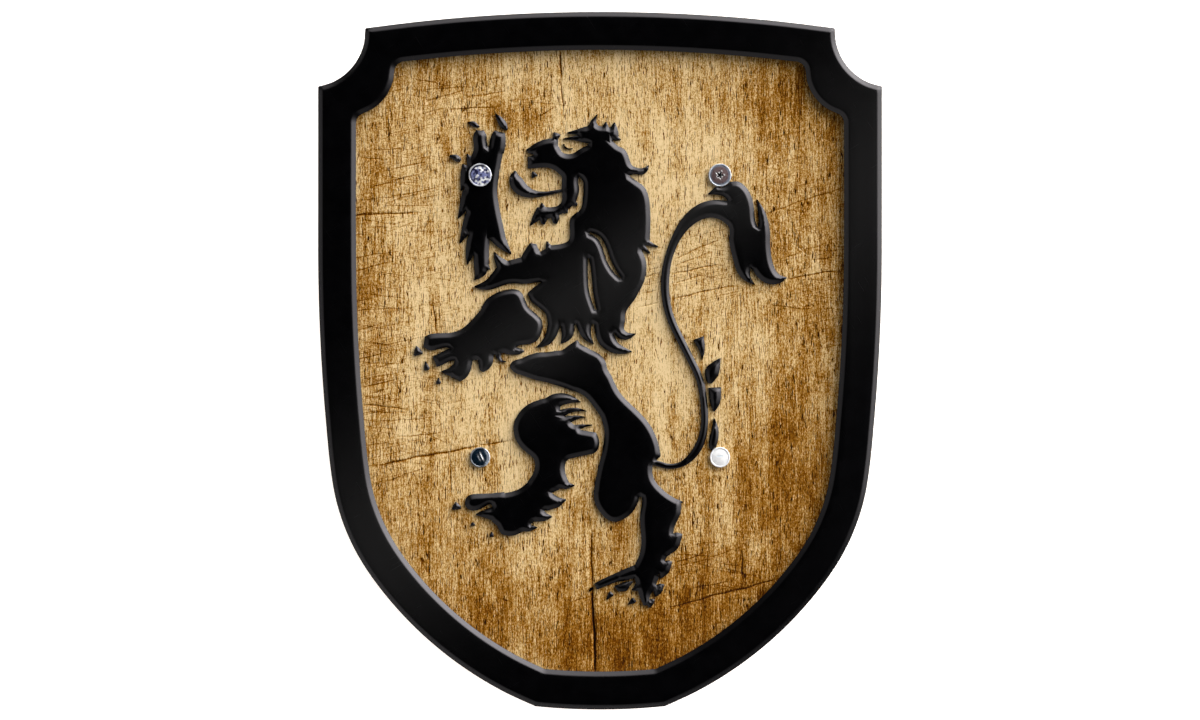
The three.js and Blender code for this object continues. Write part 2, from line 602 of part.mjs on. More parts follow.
function loinsAndTail() {
  const loins = stroke(
    [-44.8, -3.2, 1.1],
    [-43, -3.1, 2.9],
    [-39.5, -3.4, 4.1],
    [-33, -3.2, 6.6],
    [-26, -3.6, 7.7],
    [-18, -4.2, 9.4],
    [-8.5, -5.8, 11],
    [-1.5, -12.4, 8.6],
    [4, -20.8, 7.3],
    [10, -28.5, 8],
  );
  const rump = mass(
    [-17, -4, 10.4],
    [-24, -1.4, 17.4],
    [-30, 0.9, 23.2],
    [-36, 2.2, 27],
    [-42, 1.8, 29.3],
    [-48, 0.6, 30.4],
    [-52, -0.5, 26.4],
    [-56, -1.4, 26.2],
    [-60, -2.2, 27.3],
    [-64, -2.8, 30.5],
    [-68.5, -2.7, 36],
  );
  const thigh = mass(
    [-65, -3.2, 20.5],
    [-70, -2.9, 19.5],
    [-73, -1.9, 18.2],
    [-76.5, 0.3, 15.9],
    [-79.3, 3, 12.3],
    [-80.8, 6, 9],
  );
  const shank = mass(
    [-66, 20.5, 32],
    [-71, 21, 40.8],
    [-77, 20.1, 40.3],
    [-83.7, 20.2, 37.2],
    [-90, 20.7, 36.2],
    [-97.5, 19.7, 33.8],
    [-103, 17, 31.5],
    [-109, 17, 29.3],
    [-113, 18.5, 28],
    [-117.5, 19.5, 25.3],
    [-122.8, 21.8, 24.2],
  );
  const foot = stroke(
    [22, -104, 3],
    [15, -106.8, 3.1],
    [7, -109.3, 2.1],
    [0, -112.3, 1.9],
    [-2.2, -113.3, 1.6],
  );
  const fur = [
    lock([-11.2, 9.9], [-13, -3], 5.4, -0.5),
    stroke([-22, -1, 4], [-17.2, 3, 2.7], [-13.8, 7, 1.4], [-11.6, 9.8, 0.2]),
    stroke([-11.5, 4.5, 3.9], [-5, 1.5, 3.4], [-0.8, -1.1, 3.5], [2, -6, 1.9], [5, -12, 1]),
    lock([41.6, -71.1], [31, -71], 3.2),
    spur([41.2, -87.2], 9),
    spur([36.1, -101], 7),
    spur([32.1, -112.4], 5),
    spur([27.3, -119.9], 3.4),
    lock([15.8, -115.2], [22, -112], 3),
  ];
  const tail = stroke(
    [24, -50.3, 1.5],
    [29.5, -52, 1.4],
    [35, -53.2, 1.3],
    [41, -52, 1.4],
    [46.7, -47.3, 1.9],
    [50.6, -40.5, 2],
    [52.3, -32, 1.8],
    [51.9, -21, 1.8],
    [50, -10, 1.8],
    [45.5, 0, 1.8],
    [40.4, 10, 1.9],
    [35.7, 20, 1.9],
    [33.1, 30, 2],
    [32.6, 40, 2.1],
    [34, 50, 2],
    [37.6, 60, 2.2],
    [42.4, 67.8, 2.9],
    [48.3, 73, 3.7],
    [55, 75.5, 4.3],
    [63, 74.5, 5.2],
    [69, 70, 5.5],
  );
  const plume = [
    stroke(
      [54.2, 83, 0.3],
      [59.5, 84.9, 2.6],
      [65.8, 85, 5.2],
      [70.3, 79.3, 6.2],
      [70.8, 70, 6.6],
      [72.8, 60, 8.2],
      [72.5, 51, 6.2],
      [72, 44.5, 3.4],
      [74, 40.7, 1.7],
      [77.4, 37.8, 0.2],
    ),
    stroke(
      [78.7, 80.2, 0.2],
      [81, 73, 2],
      [82, 65, 3],
      [80.5, 57, 4.8],
      [80.6, 48.8, 5.6],
      [84.3, 42.7, 4.5],
      [89, 40.5, 2.6],
      [93.3, 41.2, 0.3],
    ),
  ];
  const whole = join([loins, rump, thigh, shank, foot, ...fur, tail, ...plume]);
  return cut(whole, [rivetRoom(rivetPlaces[1])]);
}

function hindLeg() {
  const thigh = mass(
    [-17.8, -22, -17],
    [-19.5, -29.3, -16],
    [-22, -35.6, -19.5],
    [-25, -39.3, -20],
    [-28, -41.5, -18],
    [-31.5, -43, -14],
    [-35, -43.3, -9.5],
    [-36.3, -43.1, -2],
    [-40, -42.1, -0.4],
    [-44.5, -38.8, -0.9],
    [-46.9, -36, -3.6],
    [-49.5, -33.2, -15.5],
    [-53, -32.5, -17.5],
    [-57, -33.6, -17.2],
    [-61, -36.3, -15.5],
  );
  const foot = massAcross(
    [-20.5, -65, -57],
    [-24, -66.5, -55],
    [-28, -76, -56],
    [-33, -80.8, -58],
    [-37, -84.5, -62],
    [-41, -87.2, -64.8],
    [-46, -87.9, -66.3],
    [-49.5, -86.8, -66.8],
    [-51.5, -83, -66.8],
    [-54, -80.9, -66.8],
  );
  const toes = [
    stroke([-48, -70, 4], [-56, -69.5, 2.7], [-62, -71.1, 4.1], [-65.5, -71.3, 3.6], [-67.3, -71.2, 1.6]),
    stroke([-48, -77, 5], [-54, -77, 3.3], [-58, -76.9, 2], [-62.1, -77.4, 0.3]),
  ];
  const fur = [
    stroke([-27, -23.5, 4], [-22, -20.4, 3.6], [-16, -19.4, 2.4], [-9.7, -21.1, 0.2]),
    stroke([-22, -28, 3], [-17, -25.8, 1.5], [-12, -24.8, 1], [-6.7, -25.6, 0.2]),
    stroke([-19, -31, 3], [-14, -29.3, 1.5], [-10.5, -28.6, 0.8], [-7.1, -28.6, 0.2]),
    stroke([-16, -35, 3], [-11.5, -33.8, 1.5], [-8, -33, 0.8], [-3.9, -32.5, 0.2]),
    stroke([-24, -57, 4], [-19.8, -61.4, 3.5], [-16, -62.9, 1.7], [-12.7, -62.8, 0.2]),
    stroke([-30, -69, 5], [-25.5, -70.8, 4.7], [-21, -71, 2.6], [-17, -69.9, 0.3]),
    stroke([-35, -75, 5], [-30.5, -77.7, 3.5], [-27, -78.5, 2], [-23.9, -78.4, 0.2]),
    stroke([-42, -80, 5], [-37.5, -83.2, 3.1], [-34.5, -84, 1.6], [-31.4, -83.8, 0.2]),
  ];
  return join([thigh, foot, ...toes, ...fur]);
}

// Room for a rivet's head, and the hole for its shank, in the lion's own coordinates.
function rivetRoom({ x, y, head }) {
  const room = head + CLEARANCE;
  return bore(x, y - LION_RISE, room, -CUT_OVERRUN, RELIEF_HEIGHT + CUT_OVERRUN);
}

function shankHole({ x, y }) {
  const hole = RIVET_SHANK_RADIUS + CLEARANCE;
  return bore(x, y - LION_RISE, hole, -CUT_OVERRUN, RELIEF_HEIGHT + CUT_OVERRUN);
}

// Small loose pieces of the relief.
const clawSets = {
  raised_claw: [
    stroke([-52.3, 123.3, 0.2], [-49.8, 119.8, 1.7], [-47.9, 117, 1.7], [-46.4, 115, 0.4]),
    stroke([-66.2, 118.8, 0.3], [-63.5, 118.2, 1.3], [-61.5, 117, 1], [-60.3, 116.7, 0.3]),
    stroke([-75.3, 102, 0.5], [-73, 101.6, 1.3], [-71, 100.5, 1.6], [-69.8, 99.6, 0.8]),
  ],
  striking_claw: [
    claw([-91.9, 7], [-90.7, 2.4], 2.4),
    claw([-87.3, -0.6], [-86.5, -5.2], 1.4),
    claw([-80.8, -8.8], [-80.8, -12], 1.2),
  ],
  hind_claw: [
    claw([-72.2, -71], [-71.7, -74.8], 2.4),
    claw([-63.7, -81], [-63.6, -83], 1.2),
    claw([-54.2, -86], [-54.2, -88.5], 1.2),
  ],
  standing_claw: [
    claw([3.3, -119.9], [6, -116.4], 1.4),
    claw([14, -122.4], [17.5, -119.8], 1.4),
    stroke([-5.3, -115.8, 0.4], [-4.5, -114.7, 0.7], [-3.8, -113.8, 0.3]),
  ],
  tail_leaf: [
    stroke([51.2, 0.3, 0.2], [51.1, 4.5, 1.3], [50.3, 8, 2.2], [49.2, 11, 2.7]),
    stroke([60.3, 0.9, 0.2], [58, -2.6, 2.4], [56, -6.2, 3.6], [55.2, -9.5, 2.4], [54.9, -11.6, 1.2]),
    stroke([57.4, -13.7, 3.2], [57.6, -18.5, 3], [57.4, -22.8, 2], [57.1, -25.7, 0.3]),
  ],
};

const rootGroup = new THREE.Group();

const face = new THREE.Group();
face.position.z = FACE_Z;
rootGroup.add(face);

const board = named('board', boardGeometry(), wood);
board.position.z = BACK_Z;
rootGroup.add(board);
face.add(named('frame', frameGeometry(), blackPaint));

const lion = new THREE.Group();
lion.position.y = LION_RISE;
face.add(lion);
const lionPieces = {
  lion_head_and_mane: headAndMane(),
  lion_raised_foreleg: cut(raisedForeleg(), [shankHole(rivetPlaces[0])]),
  lion_striking_forepaw: strikingForepaw(),
  lion_loins_and_tail: loinsAndTail(),
  lion_hind_leg: hindLeg(),
  lion_tooth: solidFrom(claw([-31.2, 92.3], [-34.2, 92.8], 1.7)),
  lion_pupil: solidFrom(
    stroke([-18.2, 108, 0.4], [-17.6, 106.5, 0.5], [-15.5, 105.6, 0.3], [-13.6, 105.9, 0.3]),
  ),
  lion_standing_toe: solidFrom(
    stroke([16.4, -110.9, 0.3], [12.3, -113.5, 2.4], [9.2, -114, 1.9], [7.6, -113.2, 0.6]),
  ),
  lion_tail_bud: cut(
    solidFrom(stroke(
      [57.1, -29.3, 0.3],
      [57.6, -34, 1.6],
      [57, -39.5, 2.2],
      [56.3, -43.5, 1.8],
      [56.5, -45, 1],
    )),
    [rivetRoom(rivetPlaces[3])],
  ),
};
for (const [name, solid] of Object.entries(lionPieces)) {
  lion.add(named(name, geometryFrom(solid), blackPaint));
}
for (const [name, geometries] of Object.entries(clawSets)) {
  geometries.forEach((geometry, i) => lion.add(named(`lion_${name}_${i + 1}`, geometry, blackPaint)));
}

for (const { name, x, y, head, seat } of rivetPlaces) {
  const rivet = named(`rivet_${name}`, geometryFrom(solidFrom(rivetGeometry(seat, head))), steel);
  rivet.position.set(x, y, seat);
  face.add(rivet);
  const washer = named(`washer_${name}`, geometryFrom(solidFrom(washerGeometry())), steel);
  washer.position.set(x, y, BACK_Z - STRAP_THICKNESS);
  rootGroup.add(washer);
}

for (const [name, side] of [['strap_left', -1], ['strap_right', 1]]) {
  const strap = named(name, strapGeometry(), leather);
  strap.position.set(side * RIVET_X, (RIVET_TOP_Y + RIVET_BOTTOM_Y) / 2, 0);
  rootGroup.add(strap);
}

export default rootGroup;
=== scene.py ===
# %% [markdown]
# # A toy heater shield
#
# The shield is a wooden board with a raised black frame round its edge and a black lion in low relief
# on its face. Four steel rivets hold two leather arm straps behind it, and it lies on those straps.
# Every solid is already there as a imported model, so this lesson only dresses it: it reads the outlines
# and levels that it needs from those solids and works out finer surfaces from them with numpy.

# %% Load the solids
import math

import bmesh
import bpy
import numpy as np
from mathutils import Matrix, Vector
from mathutils.geometry import delaunay_2d_cdt


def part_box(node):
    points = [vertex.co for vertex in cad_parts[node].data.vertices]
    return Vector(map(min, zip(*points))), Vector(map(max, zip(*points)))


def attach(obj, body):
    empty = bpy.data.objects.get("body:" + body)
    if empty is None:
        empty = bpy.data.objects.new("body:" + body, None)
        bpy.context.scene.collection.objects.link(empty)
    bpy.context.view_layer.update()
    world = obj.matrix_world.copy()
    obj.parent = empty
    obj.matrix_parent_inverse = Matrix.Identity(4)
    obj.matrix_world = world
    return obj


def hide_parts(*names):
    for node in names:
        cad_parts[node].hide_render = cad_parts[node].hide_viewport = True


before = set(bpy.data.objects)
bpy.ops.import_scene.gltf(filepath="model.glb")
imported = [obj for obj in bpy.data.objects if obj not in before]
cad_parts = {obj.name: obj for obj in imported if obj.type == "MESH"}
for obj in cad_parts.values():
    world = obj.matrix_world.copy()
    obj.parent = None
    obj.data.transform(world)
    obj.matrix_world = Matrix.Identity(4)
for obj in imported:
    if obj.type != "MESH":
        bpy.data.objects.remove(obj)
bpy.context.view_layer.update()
MM = 0.001
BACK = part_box("board")[0].z
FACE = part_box("board")[1].z
scene = bpy.context.scene


def nodes_named(start):
    """Names of the solids that begin with the given letters, in order."""
    return sorted(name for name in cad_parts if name.startswith(start))


print(f"{len(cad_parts)} solids, board from {BACK / MM:.1f} to {FACE / MM:.1f} mm above the floor")

# %% [markdown]
# ## Camera, light and floor
#
# The shield is seen square on, so the camera hangs straight above it and looks down, with the top edge of
# the shield at the top of the image. A long lens keeps the walls of the relief out of sight.
# Black lacquer is a dark mirror: its flat tops show whatever is straight above, so the space over the
# shield stays dark. Its chamfers show the walls of the studio instead, so the light is a bright wall at the
# upper right, which fades towards the zenith, and a weak one across from it. A small, weak panel high on
# the right adds a trace of sheen to the rounded shoulders that lean that way.

# %% Camera
IMAGE_WIDTH = 1200
MM_PER_PIXEL = 0.5
CAMERA_HEIGHT = 3.0
IMAGE_CENTRE_Y = 0.35 * MM
MIDDLE_OF_RELIEF = FACE + 3.0 * MM

camera_data = bpy.data.cameras.new("camera")
camera_data.sensor_width = 36.0
camera_data.lens = camera_data.sensor_width * CAMERA_HEIGHT / (IMAGE_WIDTH * MM_PER_PIXEL * MM)
camera_data.clip_end = 20.0
camera = bpy.data.objects.new("camera", camera_data)
camera.location = (0.0, IMAGE_CENTRE_Y, MIDDLE_OF_RELIEF + CAMERA_HEIGHT)
scene.collection.objects.link(camera)
scene.camera = camera
scene.view_settings.view_transform = "Standard"
print(f"camera {camera.location.z:.3f} m above the floor, lens {camera_data.lens:.0f} mm")


# %% Node helpers
def fill(tree, node, inputs):
    """Fills sockets, given by name or number, each with a value or with another node's output."""
    for socket, value in inputs.items():
        if isinstance(value, bpy.types.NodeSocket):
            tree.links.new(value, node.inputs[socket])
        else:
            node.inputs[socket].default_value = value


def add(tree, kind, inputs=None, **settings):
    """A new node with its settings made and its sockets filled."""
    node = tree.nodes.new(kind)
    for label, value in settings.items():
        setattr(node, label, value)
    fill(tree, node, inputs or {})
    return node


def math_node(tree, operation, first, second):
    """One step of arithmetic on values or on other nodes' outputs."""
    return add(tree, "ShaderNodeMath", {0: first, 1: second}, operation=operation).outputs[0]


def plus(tree, total, value, weight):
    """The total, with another value times its weight added."""
    return math_node(tree, "ADD", total, math_node(tree, "MULTIPLY", value, weight))


def ease(tree, value, low, high, to_low=0.0, to_high=1.0):
    """A smooth step: to_low below low, to_high above high."""
    limits = {"Value": value, "From Min": low, "From Max": high, "To Min": to_low, "To Max": to_high}
    return add(tree, "ShaderNodeMapRange", limits, interpolation_type="SMOOTHSTEP").outputs[0]


# %% Studio walls
# Direction in degrees, sharpness and strength of each wall. Round the horizon a wall fades with a power of
# the cosine of the angle to its middle. All of them fade between two heights on a sphere of radius one.
WALLS = ((45, 3.2, 12.0), (225, 0.6, 0.75))
WALL_REST = 0.05
WALL_FADE = (0.42, 0.78)
WALL_COLOUR = (1.0, 0.99, 0.98, 1.0)
world = bpy.data.worlds.new("studio")
world.use_nodes = True
scene.world = world
sky = world.node_tree
sky_way = add(sky, "ShaderNodeTexCoord").outputs["Generated"]
sky_height = add(sky, "ShaderNodeSeparateXYZ", {"Vector": sky_way}).outputs["Z"]
level = add(sky, "ShaderNodeVectorMath", {0: sky_way, 1: (1.0, 1.0, 0.0)}, operation="MULTIPLY").outputs[0]
level = add(sky, "ShaderNodeVectorMath", {0: level}, operation="NORMALIZE").outputs[0]
brightness = WALL_REST
for around, sharpness, strength in WALLS:
    turn = math.radians(around)
    middle = (math.cos(turn), math.sin(turn), 0.0)
    sockets = {0: level, 1: middle}
    facing = add(sky, "ShaderNodeVectorMath", sockets, operation="DOT_PRODUCT").outputs["Value"]
    lobe = math_node(sky, "POWER", math_node(sky, "MAXIMUM", facing, 0.0), sharpness)
    brightness = plus(sky, brightness, lobe, strength)
brightness = math_node(sky, "MULTIPLY", brightness, ease(sky, sky_height, *WALL_FADE, 1.0, 0.0))
fill(sky, sky.nodes["Background"], {"Strength": brightness, "Color": WALL_COLOUR})
print(f"{len(WALLS)} walls from {len(sky.nodes)} nodes")

# %% Sheen panel
# Its direction in degrees, round from +X towards +Y and up from the horizon, and its size in metres.
PANEL_AROUND = -12
PANEL_ABOVE = 64
PANEL_DISTANCE = 0.9
PANEL_SIZE = (0.35, 0.6)
PANEL_POWER = 0.04
turn = math.radians(PANEL_AROUND)
lift = math.radians(PANEL_ABOVE)
way = Vector((math.cos(turn) * math.cos(lift), math.sin(turn) * math.cos(lift), math.sin(lift)))
panel_data = bpy.data.lights.new("sheen panel", "AREA")
panel_data.shape = "RECTANGLE"
panel_data.size, panel_data.size_y = PANEL_SIZE
panel_data.energy = PANEL_POWER
panel = bpy.data.objects.new("sheen panel", panel_data)
panel.location = way * PANEL_DISTANCE + Vector((0.0, 0.0, FACE))
panel.rotation_euler = way.to_track_quat("Z", "Y").to_euler()
scene.collection.objects.link(panel)
print(f"{panel.name}: {PANEL_POWER} W at {PANEL_AROUND} degrees round, {PANEL_ABOVE} degrees up")

# %% [markdown]
# ## Small tools
#
# A finish is a graph of nodes that reads the place on the piece, and a few helpers keep such a graph short.
# Every surface below ends as arrays of points and faces. One helper turns them into a Blender mesh, gives it
# its finish, and hides the solids that it stands for.


# %% Finish helpers
def noise(tree, place, scale, detail=3.0, rough=0.55):
    """Smooth noise about one half, on a place that is already stretched to the grain's proportions."""
    sockets = {"Vector": place, "Scale": scale, "Detail": detail, "Roughness": rough}
    return add(tree, "ShaderNodeTexNoise", sockets).outputs[0]


def stretched(tree, place, scale, turn=0.0):
    """The place turned about the face's normal by some degrees and then scaled along each axis."""
    sockets = {"Vector": place, "Rotation": (0.0, 0.0, math.radians(turn)), "Scale": scale}
    return add(tree, "ShaderNodeMapping", sockets, vector_type="TEXTURE").outputs[0]


def ramp(tree, value, *stops):
    """The colour between the two nearest stops. A stop is a level from zero to one and a colour."""
    node = add(tree, "ShaderNodeValToRGB", {"Fac": value})
    elements = node.color_ramp.elements
    while len(elements) < len(stops):
        elements.new(0.5)
    for element, (level, colour) in zip(elements, stops):
        element.position = level
        element.color = (*colour, 1.0)
    return node.outputs["Color"]


def bump(tree, height, strength=1.0):
    """Heights in millimetres, which bend the shading and leave the surface where it is."""
    sockets = {"Height": height, "Distance": MM, "Strength": strength}
    return add(tree, "ShaderNodeBump", sockets).outputs["Normal"]


def from_points(tree, label, output="Fac"):
    """An attribute of the mesh's points, spread over its faces."""
    return add(tree, "ShaderNodeAttribute", attribute_name=label).outputs[output]


def new_finish(name):
    """A material with only its shader, and the place on the piece in millimetres."""
    material = bpy.data.materials.new(name)
    material.use_nodes = True
    tree = material.node_tree
    here = add(tree, "ShaderNodeTexCoord").outputs["Object"]
    place = add(tree, "ShaderNodeVectorMath", {0: here, "Scale": 1 / MM}, operation="SCALE").outputs[0]
    return material, tree, tree.nodes["Principled BSDF"], place


# %% Mesh helpers
SHARP_TURN = math.radians(40.0)


def make_piece(name, points, faces, finish, nodes=(), attributes=None):
    """A smooth-shaded mesh from an array of points in metres and arrays of faces. Edges that turn by more
    than the sharp turn stay crisp. Attributes hold one number or one colour for each point."""
    mesh = bpy.data.meshes.new(name)
    mesh.from_pydata(points.tolist(), [], [face for block in faces for face in block.tolist()])
    mesh.polygons.foreach_set("use_smooth", np.ones(len(mesh.polygons), dtype=bool))
    mesh.set_sharp_from_angle(angle=SHARP_TURN)
    mesh.materials.append(finish)
    for label, values in (attributes or {}).items():
        kind, field = ("FLOAT", "value") if values.ndim == 1 else ("FLOAT_COLOR", "color")
        mesh.attributes.new(label, kind, "POINT").data.foreach_set(field, values.astype(np.float32).ravel())
    piece = bpy.data.objects.new(name, mesh)
    scene.collection.objects.link(piece)
    if nodes:
        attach(piece, "root")
        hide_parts(*nodes)
    print(f"{name}: {len(mesh.vertices)} points, {len(mesh.polygons)} faces")
    return piece


def grid_faces(rows, columns, ring_rows=False, ring_columns=False):
    """Four-sided faces between neighbouring points of a grid that is stored row by row. Rows or columns that
    form a ring also join their last to their first."""
    row = np.arange(rows)[:, None] * columns
    column = np.arange(columns)
    next_row = np.roll(row, -1, axis=0)
    after = np.roll(column, -1)
    faces = np.stack([row + column, row + after, next_row + after, next_row + column], axis=2)
    return faces[:rows - 1 + ring_rows, :columns - 1 + ring_columns].reshape(-1, 4)


# %% Floor
FLOOR_SPAN = 4.0
FLOOR_STEPS = 24
floor_finish, tree, shader, place = new_finish("pale floor")
floor_tone = ramp(tree, noise(tree, place, 0.004), (0.0, (0.90, 0.90, 0.90)), (1.0, (0.94, 0.94, 0.94)))
fill(tree, shader, {"Base Color": floor_tone, "Roughness": 0.9, "Specular IOR Level": 0.2})
fill(tree, shader, {"Emission Color": (1.0, 1.0, 1.0, 1.0), "Emission Strength": 0.85})
steps = np.linspace(-FLOOR_SPAN / 2, FLOOR_SPAN / 2, FLOOR_STEPS + 1)
across, along = np.meshgrid(steps, steps)
floor_points = np.stack([across.ravel(), along.ravel(), np.zeros(across.size)], axis=1)
floor = make_piece("floor", floor_points, [grid_faces(len(steps), len(steps))], floor_finish)

# %% [markdown]
# ## Shared effects as node groups
#
# Two things happen to every finish that is handled: its sheen turns uneven, and it picks up hairline
# scratches. Both are built once as a node group that takes the place on the piece, and each material then
# uses it with its own scale and strength.


# %% Handling wear group
MOTTLE_SCALE = 0.12
HAIRLINE_TURNS = (32.0, -58.0)
HAIRLINE_SHAPE = (22.0, 0.5, 1.0)
HAIRLINE_CREST = (0.70, 0.78)


def handling_group():
    """Mottle is cloudy noise. Hairlines are the thin crests of noise that is drawn out along two
    directions."""
    tree = bpy.data.node_groups.new("handling wear", "ShaderNodeTree")
    for label, kind in (("Place", "NodeSocketVector"), ("Scale", "NodeSocketFloat")):
        tree.interface.new_socket(name=label, in_out="INPUT", socket_type=kind)
    for label in ("Mottle", "Hairlines"):
        tree.interface.new_socket(name=label, in_out="OUTPUT", socket_type="NodeSocketFloat")
    given = add(tree, "NodeGroupInput").outputs
    sockets = {0: given["Place"], "Scale": given["Scale"]}
    sized = add(tree, "ShaderNodeVectorMath", sockets, operation="SCALE").outputs[0]
    mottle = noise(tree, sized, MOTTLE_SCALE, detail=5.0)
    crests = []
    for turn in HAIRLINE_TURNS:
        drawn = stretched(tree, sized, HAIRLINE_SHAPE, turn)
        crests.append(ease(tree, noise(tree, drawn, 1.0, detail=1.0), *HAIRLINE_CREST))
    hairlines = math_node(tree, "MAXIMUM", *crests)
    add(tree, "NodeGroupOutput", {"Mottle": mottle, "Hairlines": hairlines})
    return tree


handling = handling_group()


def handled(tree, place, scale):
    """The handling group in a material: its mottle and its hairlines."""
    node = add(tree, "ShaderNodeGroup", {"Place": place, "Scale": scale}, node_tree=handling)
    return node.outputs["Mottle"], node.outputs["Hairlines"]


print(f"group {handling.name}: {len(handling.nodes)} nodes")

# %% [markdown]
# ## Black lacquer
#
# The frame and the lion are painted with the same satin black. On the real thing the paint is even, and
# only its sheen varies a little. Its colour is a very dark blue-black, a soft gloss comes from the shader,
# and the handling group changes the roughness and adds a trace of hairlines to the surface. A broad band
# that climbs to the right is painted sheen: the reflection of a soft strip of light, painted into the
# colour as a dark grey. How strong it is at each place is an attribute of each piece's points.

# %% Lacquer finish
LACQUER_BLACKS = ((0.3, (0.0004, 0.0004, 0.0006)), (0.7, (0.0008, 0.0008, 0.0011)))
PAINTED_SHEEN_GREY = (0.0105, 0.0103, 0.0104, 1.0)
lacquer, tree, shader, place = new_finish("black lacquer")
mottle, hairlines = handled(tree, place, 1.0)
black = ramp(tree, mottle, *LACQUER_BLACKS)
# Painted sheen: an attribute of the points mixes the black towards a dark grey, a painted reflection of a
# strip of light.
colours_with_painted_light = {"Factor": from_points(tree, "painted_sheen"), "A": black, "B": PAINTED_SHEEN_GREY}
lacquer_and_painted_sheen = add(tree, "ShaderNodeMix", colours_with_painted_light, data_type="RGBA").outputs["Result"]
sheen = plus(tree, ease(tree, mottle, 0.3, 0.7, 0.20, 0.24), hairlines, 0.08)
orange_peel = math_node(tree, "MULTIPLY", noise(tree, place, 0.9, detail=2.0), 0.012)
scored = bump(tree, plus(tree, orange_peel, hairlines, -0.01))
fill(tree, shader, {"Base Color": lacquer_and_painted_sheen, "Roughness": sheen, "Normal": scored})
fill(tree, shader, {"Specular IOR Level": 0.30, "Specular Tint": (1.0, 0.95, 1.0, 1.0)})
print(f"{lacquer.name}: {len(tree.nodes)} nodes")

# %% [markdown]
# ## Outlines from the solids
#
# The frame and each piece of the lion stand on the board with a flat underside. The edges of that underside
# are the piece's outline. In the triangles of the underside, an edge in the middle is used in both
# directions and an edge of the outline in only one, so the outline falls out of a comparison of two arrays.
# The solids have only as many points as their checks need, so the outline is then rounded: each pass
# adds the middle of a cubic curve between neighbours, and real corners keep their point.


# %% Read an outline
MERGE_DISTANCE = 0.002
UNDERSIDE_REACH = 0.02


def rim_edges(triangles, count):
    """Edges that only one triangle uses, in that triangle's direction. Count is the number of points."""
    edges = triangles[:, [0, 1, 1, 2, 2, 0]].reshape(-1, 2)
    return edges[~np.isin(edges[:, 0] * count + edges[:, 1], edges[:, 1] * count + edges[:, 0])]


def underside_outlines(node):
    """Closed loops of a solid's underside, in millimetres: its edges, put end to end."""
    copy = bmesh.new()
    copy.from_mesh(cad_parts[node].data)
    bmesh.ops.remove_doubles(copy, verts=copy.verts, dist=MERGE_DISTANCE * MM)
    merged = bpy.data.meshes.new("merged copy")
    copy.to_mesh(merged)
    copy.free()
    points = np.empty(len(merged.vertices) * 3)
    merged.vertices.foreach_get("co", points)
    points = points.reshape(-1, 3) / MM
    corners = np.empty(len(merged.loop_triangles) * 3, dtype=np.int64)
    merged.loop_triangles.foreach_get("vertices", corners)
    corners = corners.reshape(-1, 3)
    bpy.data.meshes.remove(merged)
    low = points[:, 2] < points[:, 2].min() + UNDERSIDE_REACH
    under = corners[low[corners].all(axis=1)]
    follow = dict(rim_edges(under, len(points)).tolist())
    loops = []
    while follow:
        start, here = follow.popitem()
        order = [start]
        while here != start:
            order.append(here)
            here = follow.pop(here)
        loops.append(points[order, :2])
    return loops


frame_loops = underside_outlines("frame")
print(f"the frame's underside has {len(frame_loops)} loops of {[len(loop) for loop in frame_loops]} points")


# %% Round an outline
EDGE_STEP = 1.6
STRAIGHT_RUN = 3.0


def spaced(loop):
    """Extra points along every edge that is longer than the step."""
    ahead = np.roll(loop, -1, axis=0) - loop
    pieces = np.ceil(np.linalg.norm(ahead, axis=1) / EDGE_STEP).astype(int)
    start = np.repeat(np.arange(len(loop)), pieces)
    share = (np.arange(len(start)) - np.repeat(np.cumsum(pieces) - pieces, pieces)) / pieces[start]
    return loop[start] + share[:, None] * ahead[start]


def rounded(loop, passes, corner, alone=0.0):
    """Middle of each edge on a cubic: half way, plus an eighth of its length times the change of tangent.
    A point's tangent is that of a circle through its two edges, but an edge that is longer than the other
    by the factor of a straight run sets it alone. Where the outline turns by more than the corner angle,
    and by more than its neighbours times alone, each side keeps its own direction."""
    for _ in range(passes):
        ahead = np.roll(loop, -1, axis=0) - loop
        length = np.linalg.norm(ahead, axis=1, keepdims=True)
        way = ahead / length
        before = np.roll(way, 1, axis=0)
        last = np.roll(length, 1, axis=0)
        shared = before * length + way * last
        shared = np.where(length > STRAIGHT_RUN * last, way, shared)
        shared = np.where(last > STRAIGHT_RUN * length, before, shared)
        shared /= np.linalg.norm(shared, axis=1, keepdims=True)
        turn = np.degrees(np.arccos(np.clip((way * before).sum(axis=1, keepdims=True), -1.0, 1.0)))
        beside = np.maximum(np.roll(turn, 1, axis=0), np.roll(turn, -1, axis=0))
        crisp = (turn > corner) & (turn > alone * beside)
        leave = np.where(crisp, way, shared)
        arrive = np.roll(np.where(crisp, before, shared), -1, axis=0)
        middle = loop + ahead / 2 + length / 8 * (leave - arrive)
        loop = np.stack([loop, middle], axis=1).reshape(-1, 2)
    return spaced(loop)


frame_outline = [rounded(loop, passes=3, corner=15.0, alone=1.5) for loop in frame_loops]
print(f"rounded, they have {[len(loop) for loop in frame_outline]} points")

# %% [markdown]
# ## A chamfered relief from an outline
#
# The frame and the lion have the same make: a flat top, and a chamfer of even width along every edge. A
# profile carried along the outline would cut through itself where the shape is narrow. Height as a function
# of the distance to the nearest edge has no such trouble: it climbs from the wall along a straight slope,
# and a soft minimum eases it into the flat top. Two chamfers that meet in a narrow tail make a ridge by
# themselves. The points lie on the outline, on copies of it drawn inwards, and on a coarse grid over the
# flat.


# %% Distance and inside test
BLOCK = 300


def nearest_edge(points, starts, ends):
    """Shortest distance from each point to any edge, worked out for a block of points at a time."""
    along = ends - starts
    square = (along ** 2).sum(axis=1)
    gaps = []
    for block in np.array_split(points, len(points) // BLOCK + 1):
        offset = block[:, None, :] - starts
        share = np.clip((offset * along).sum(axis=2) / square, 0.0, 1.0)
        gaps.append(np.linalg.norm(offset - share[:, :, None] * along, axis=2).min(axis=1))
    return np.concatenate(gaps)


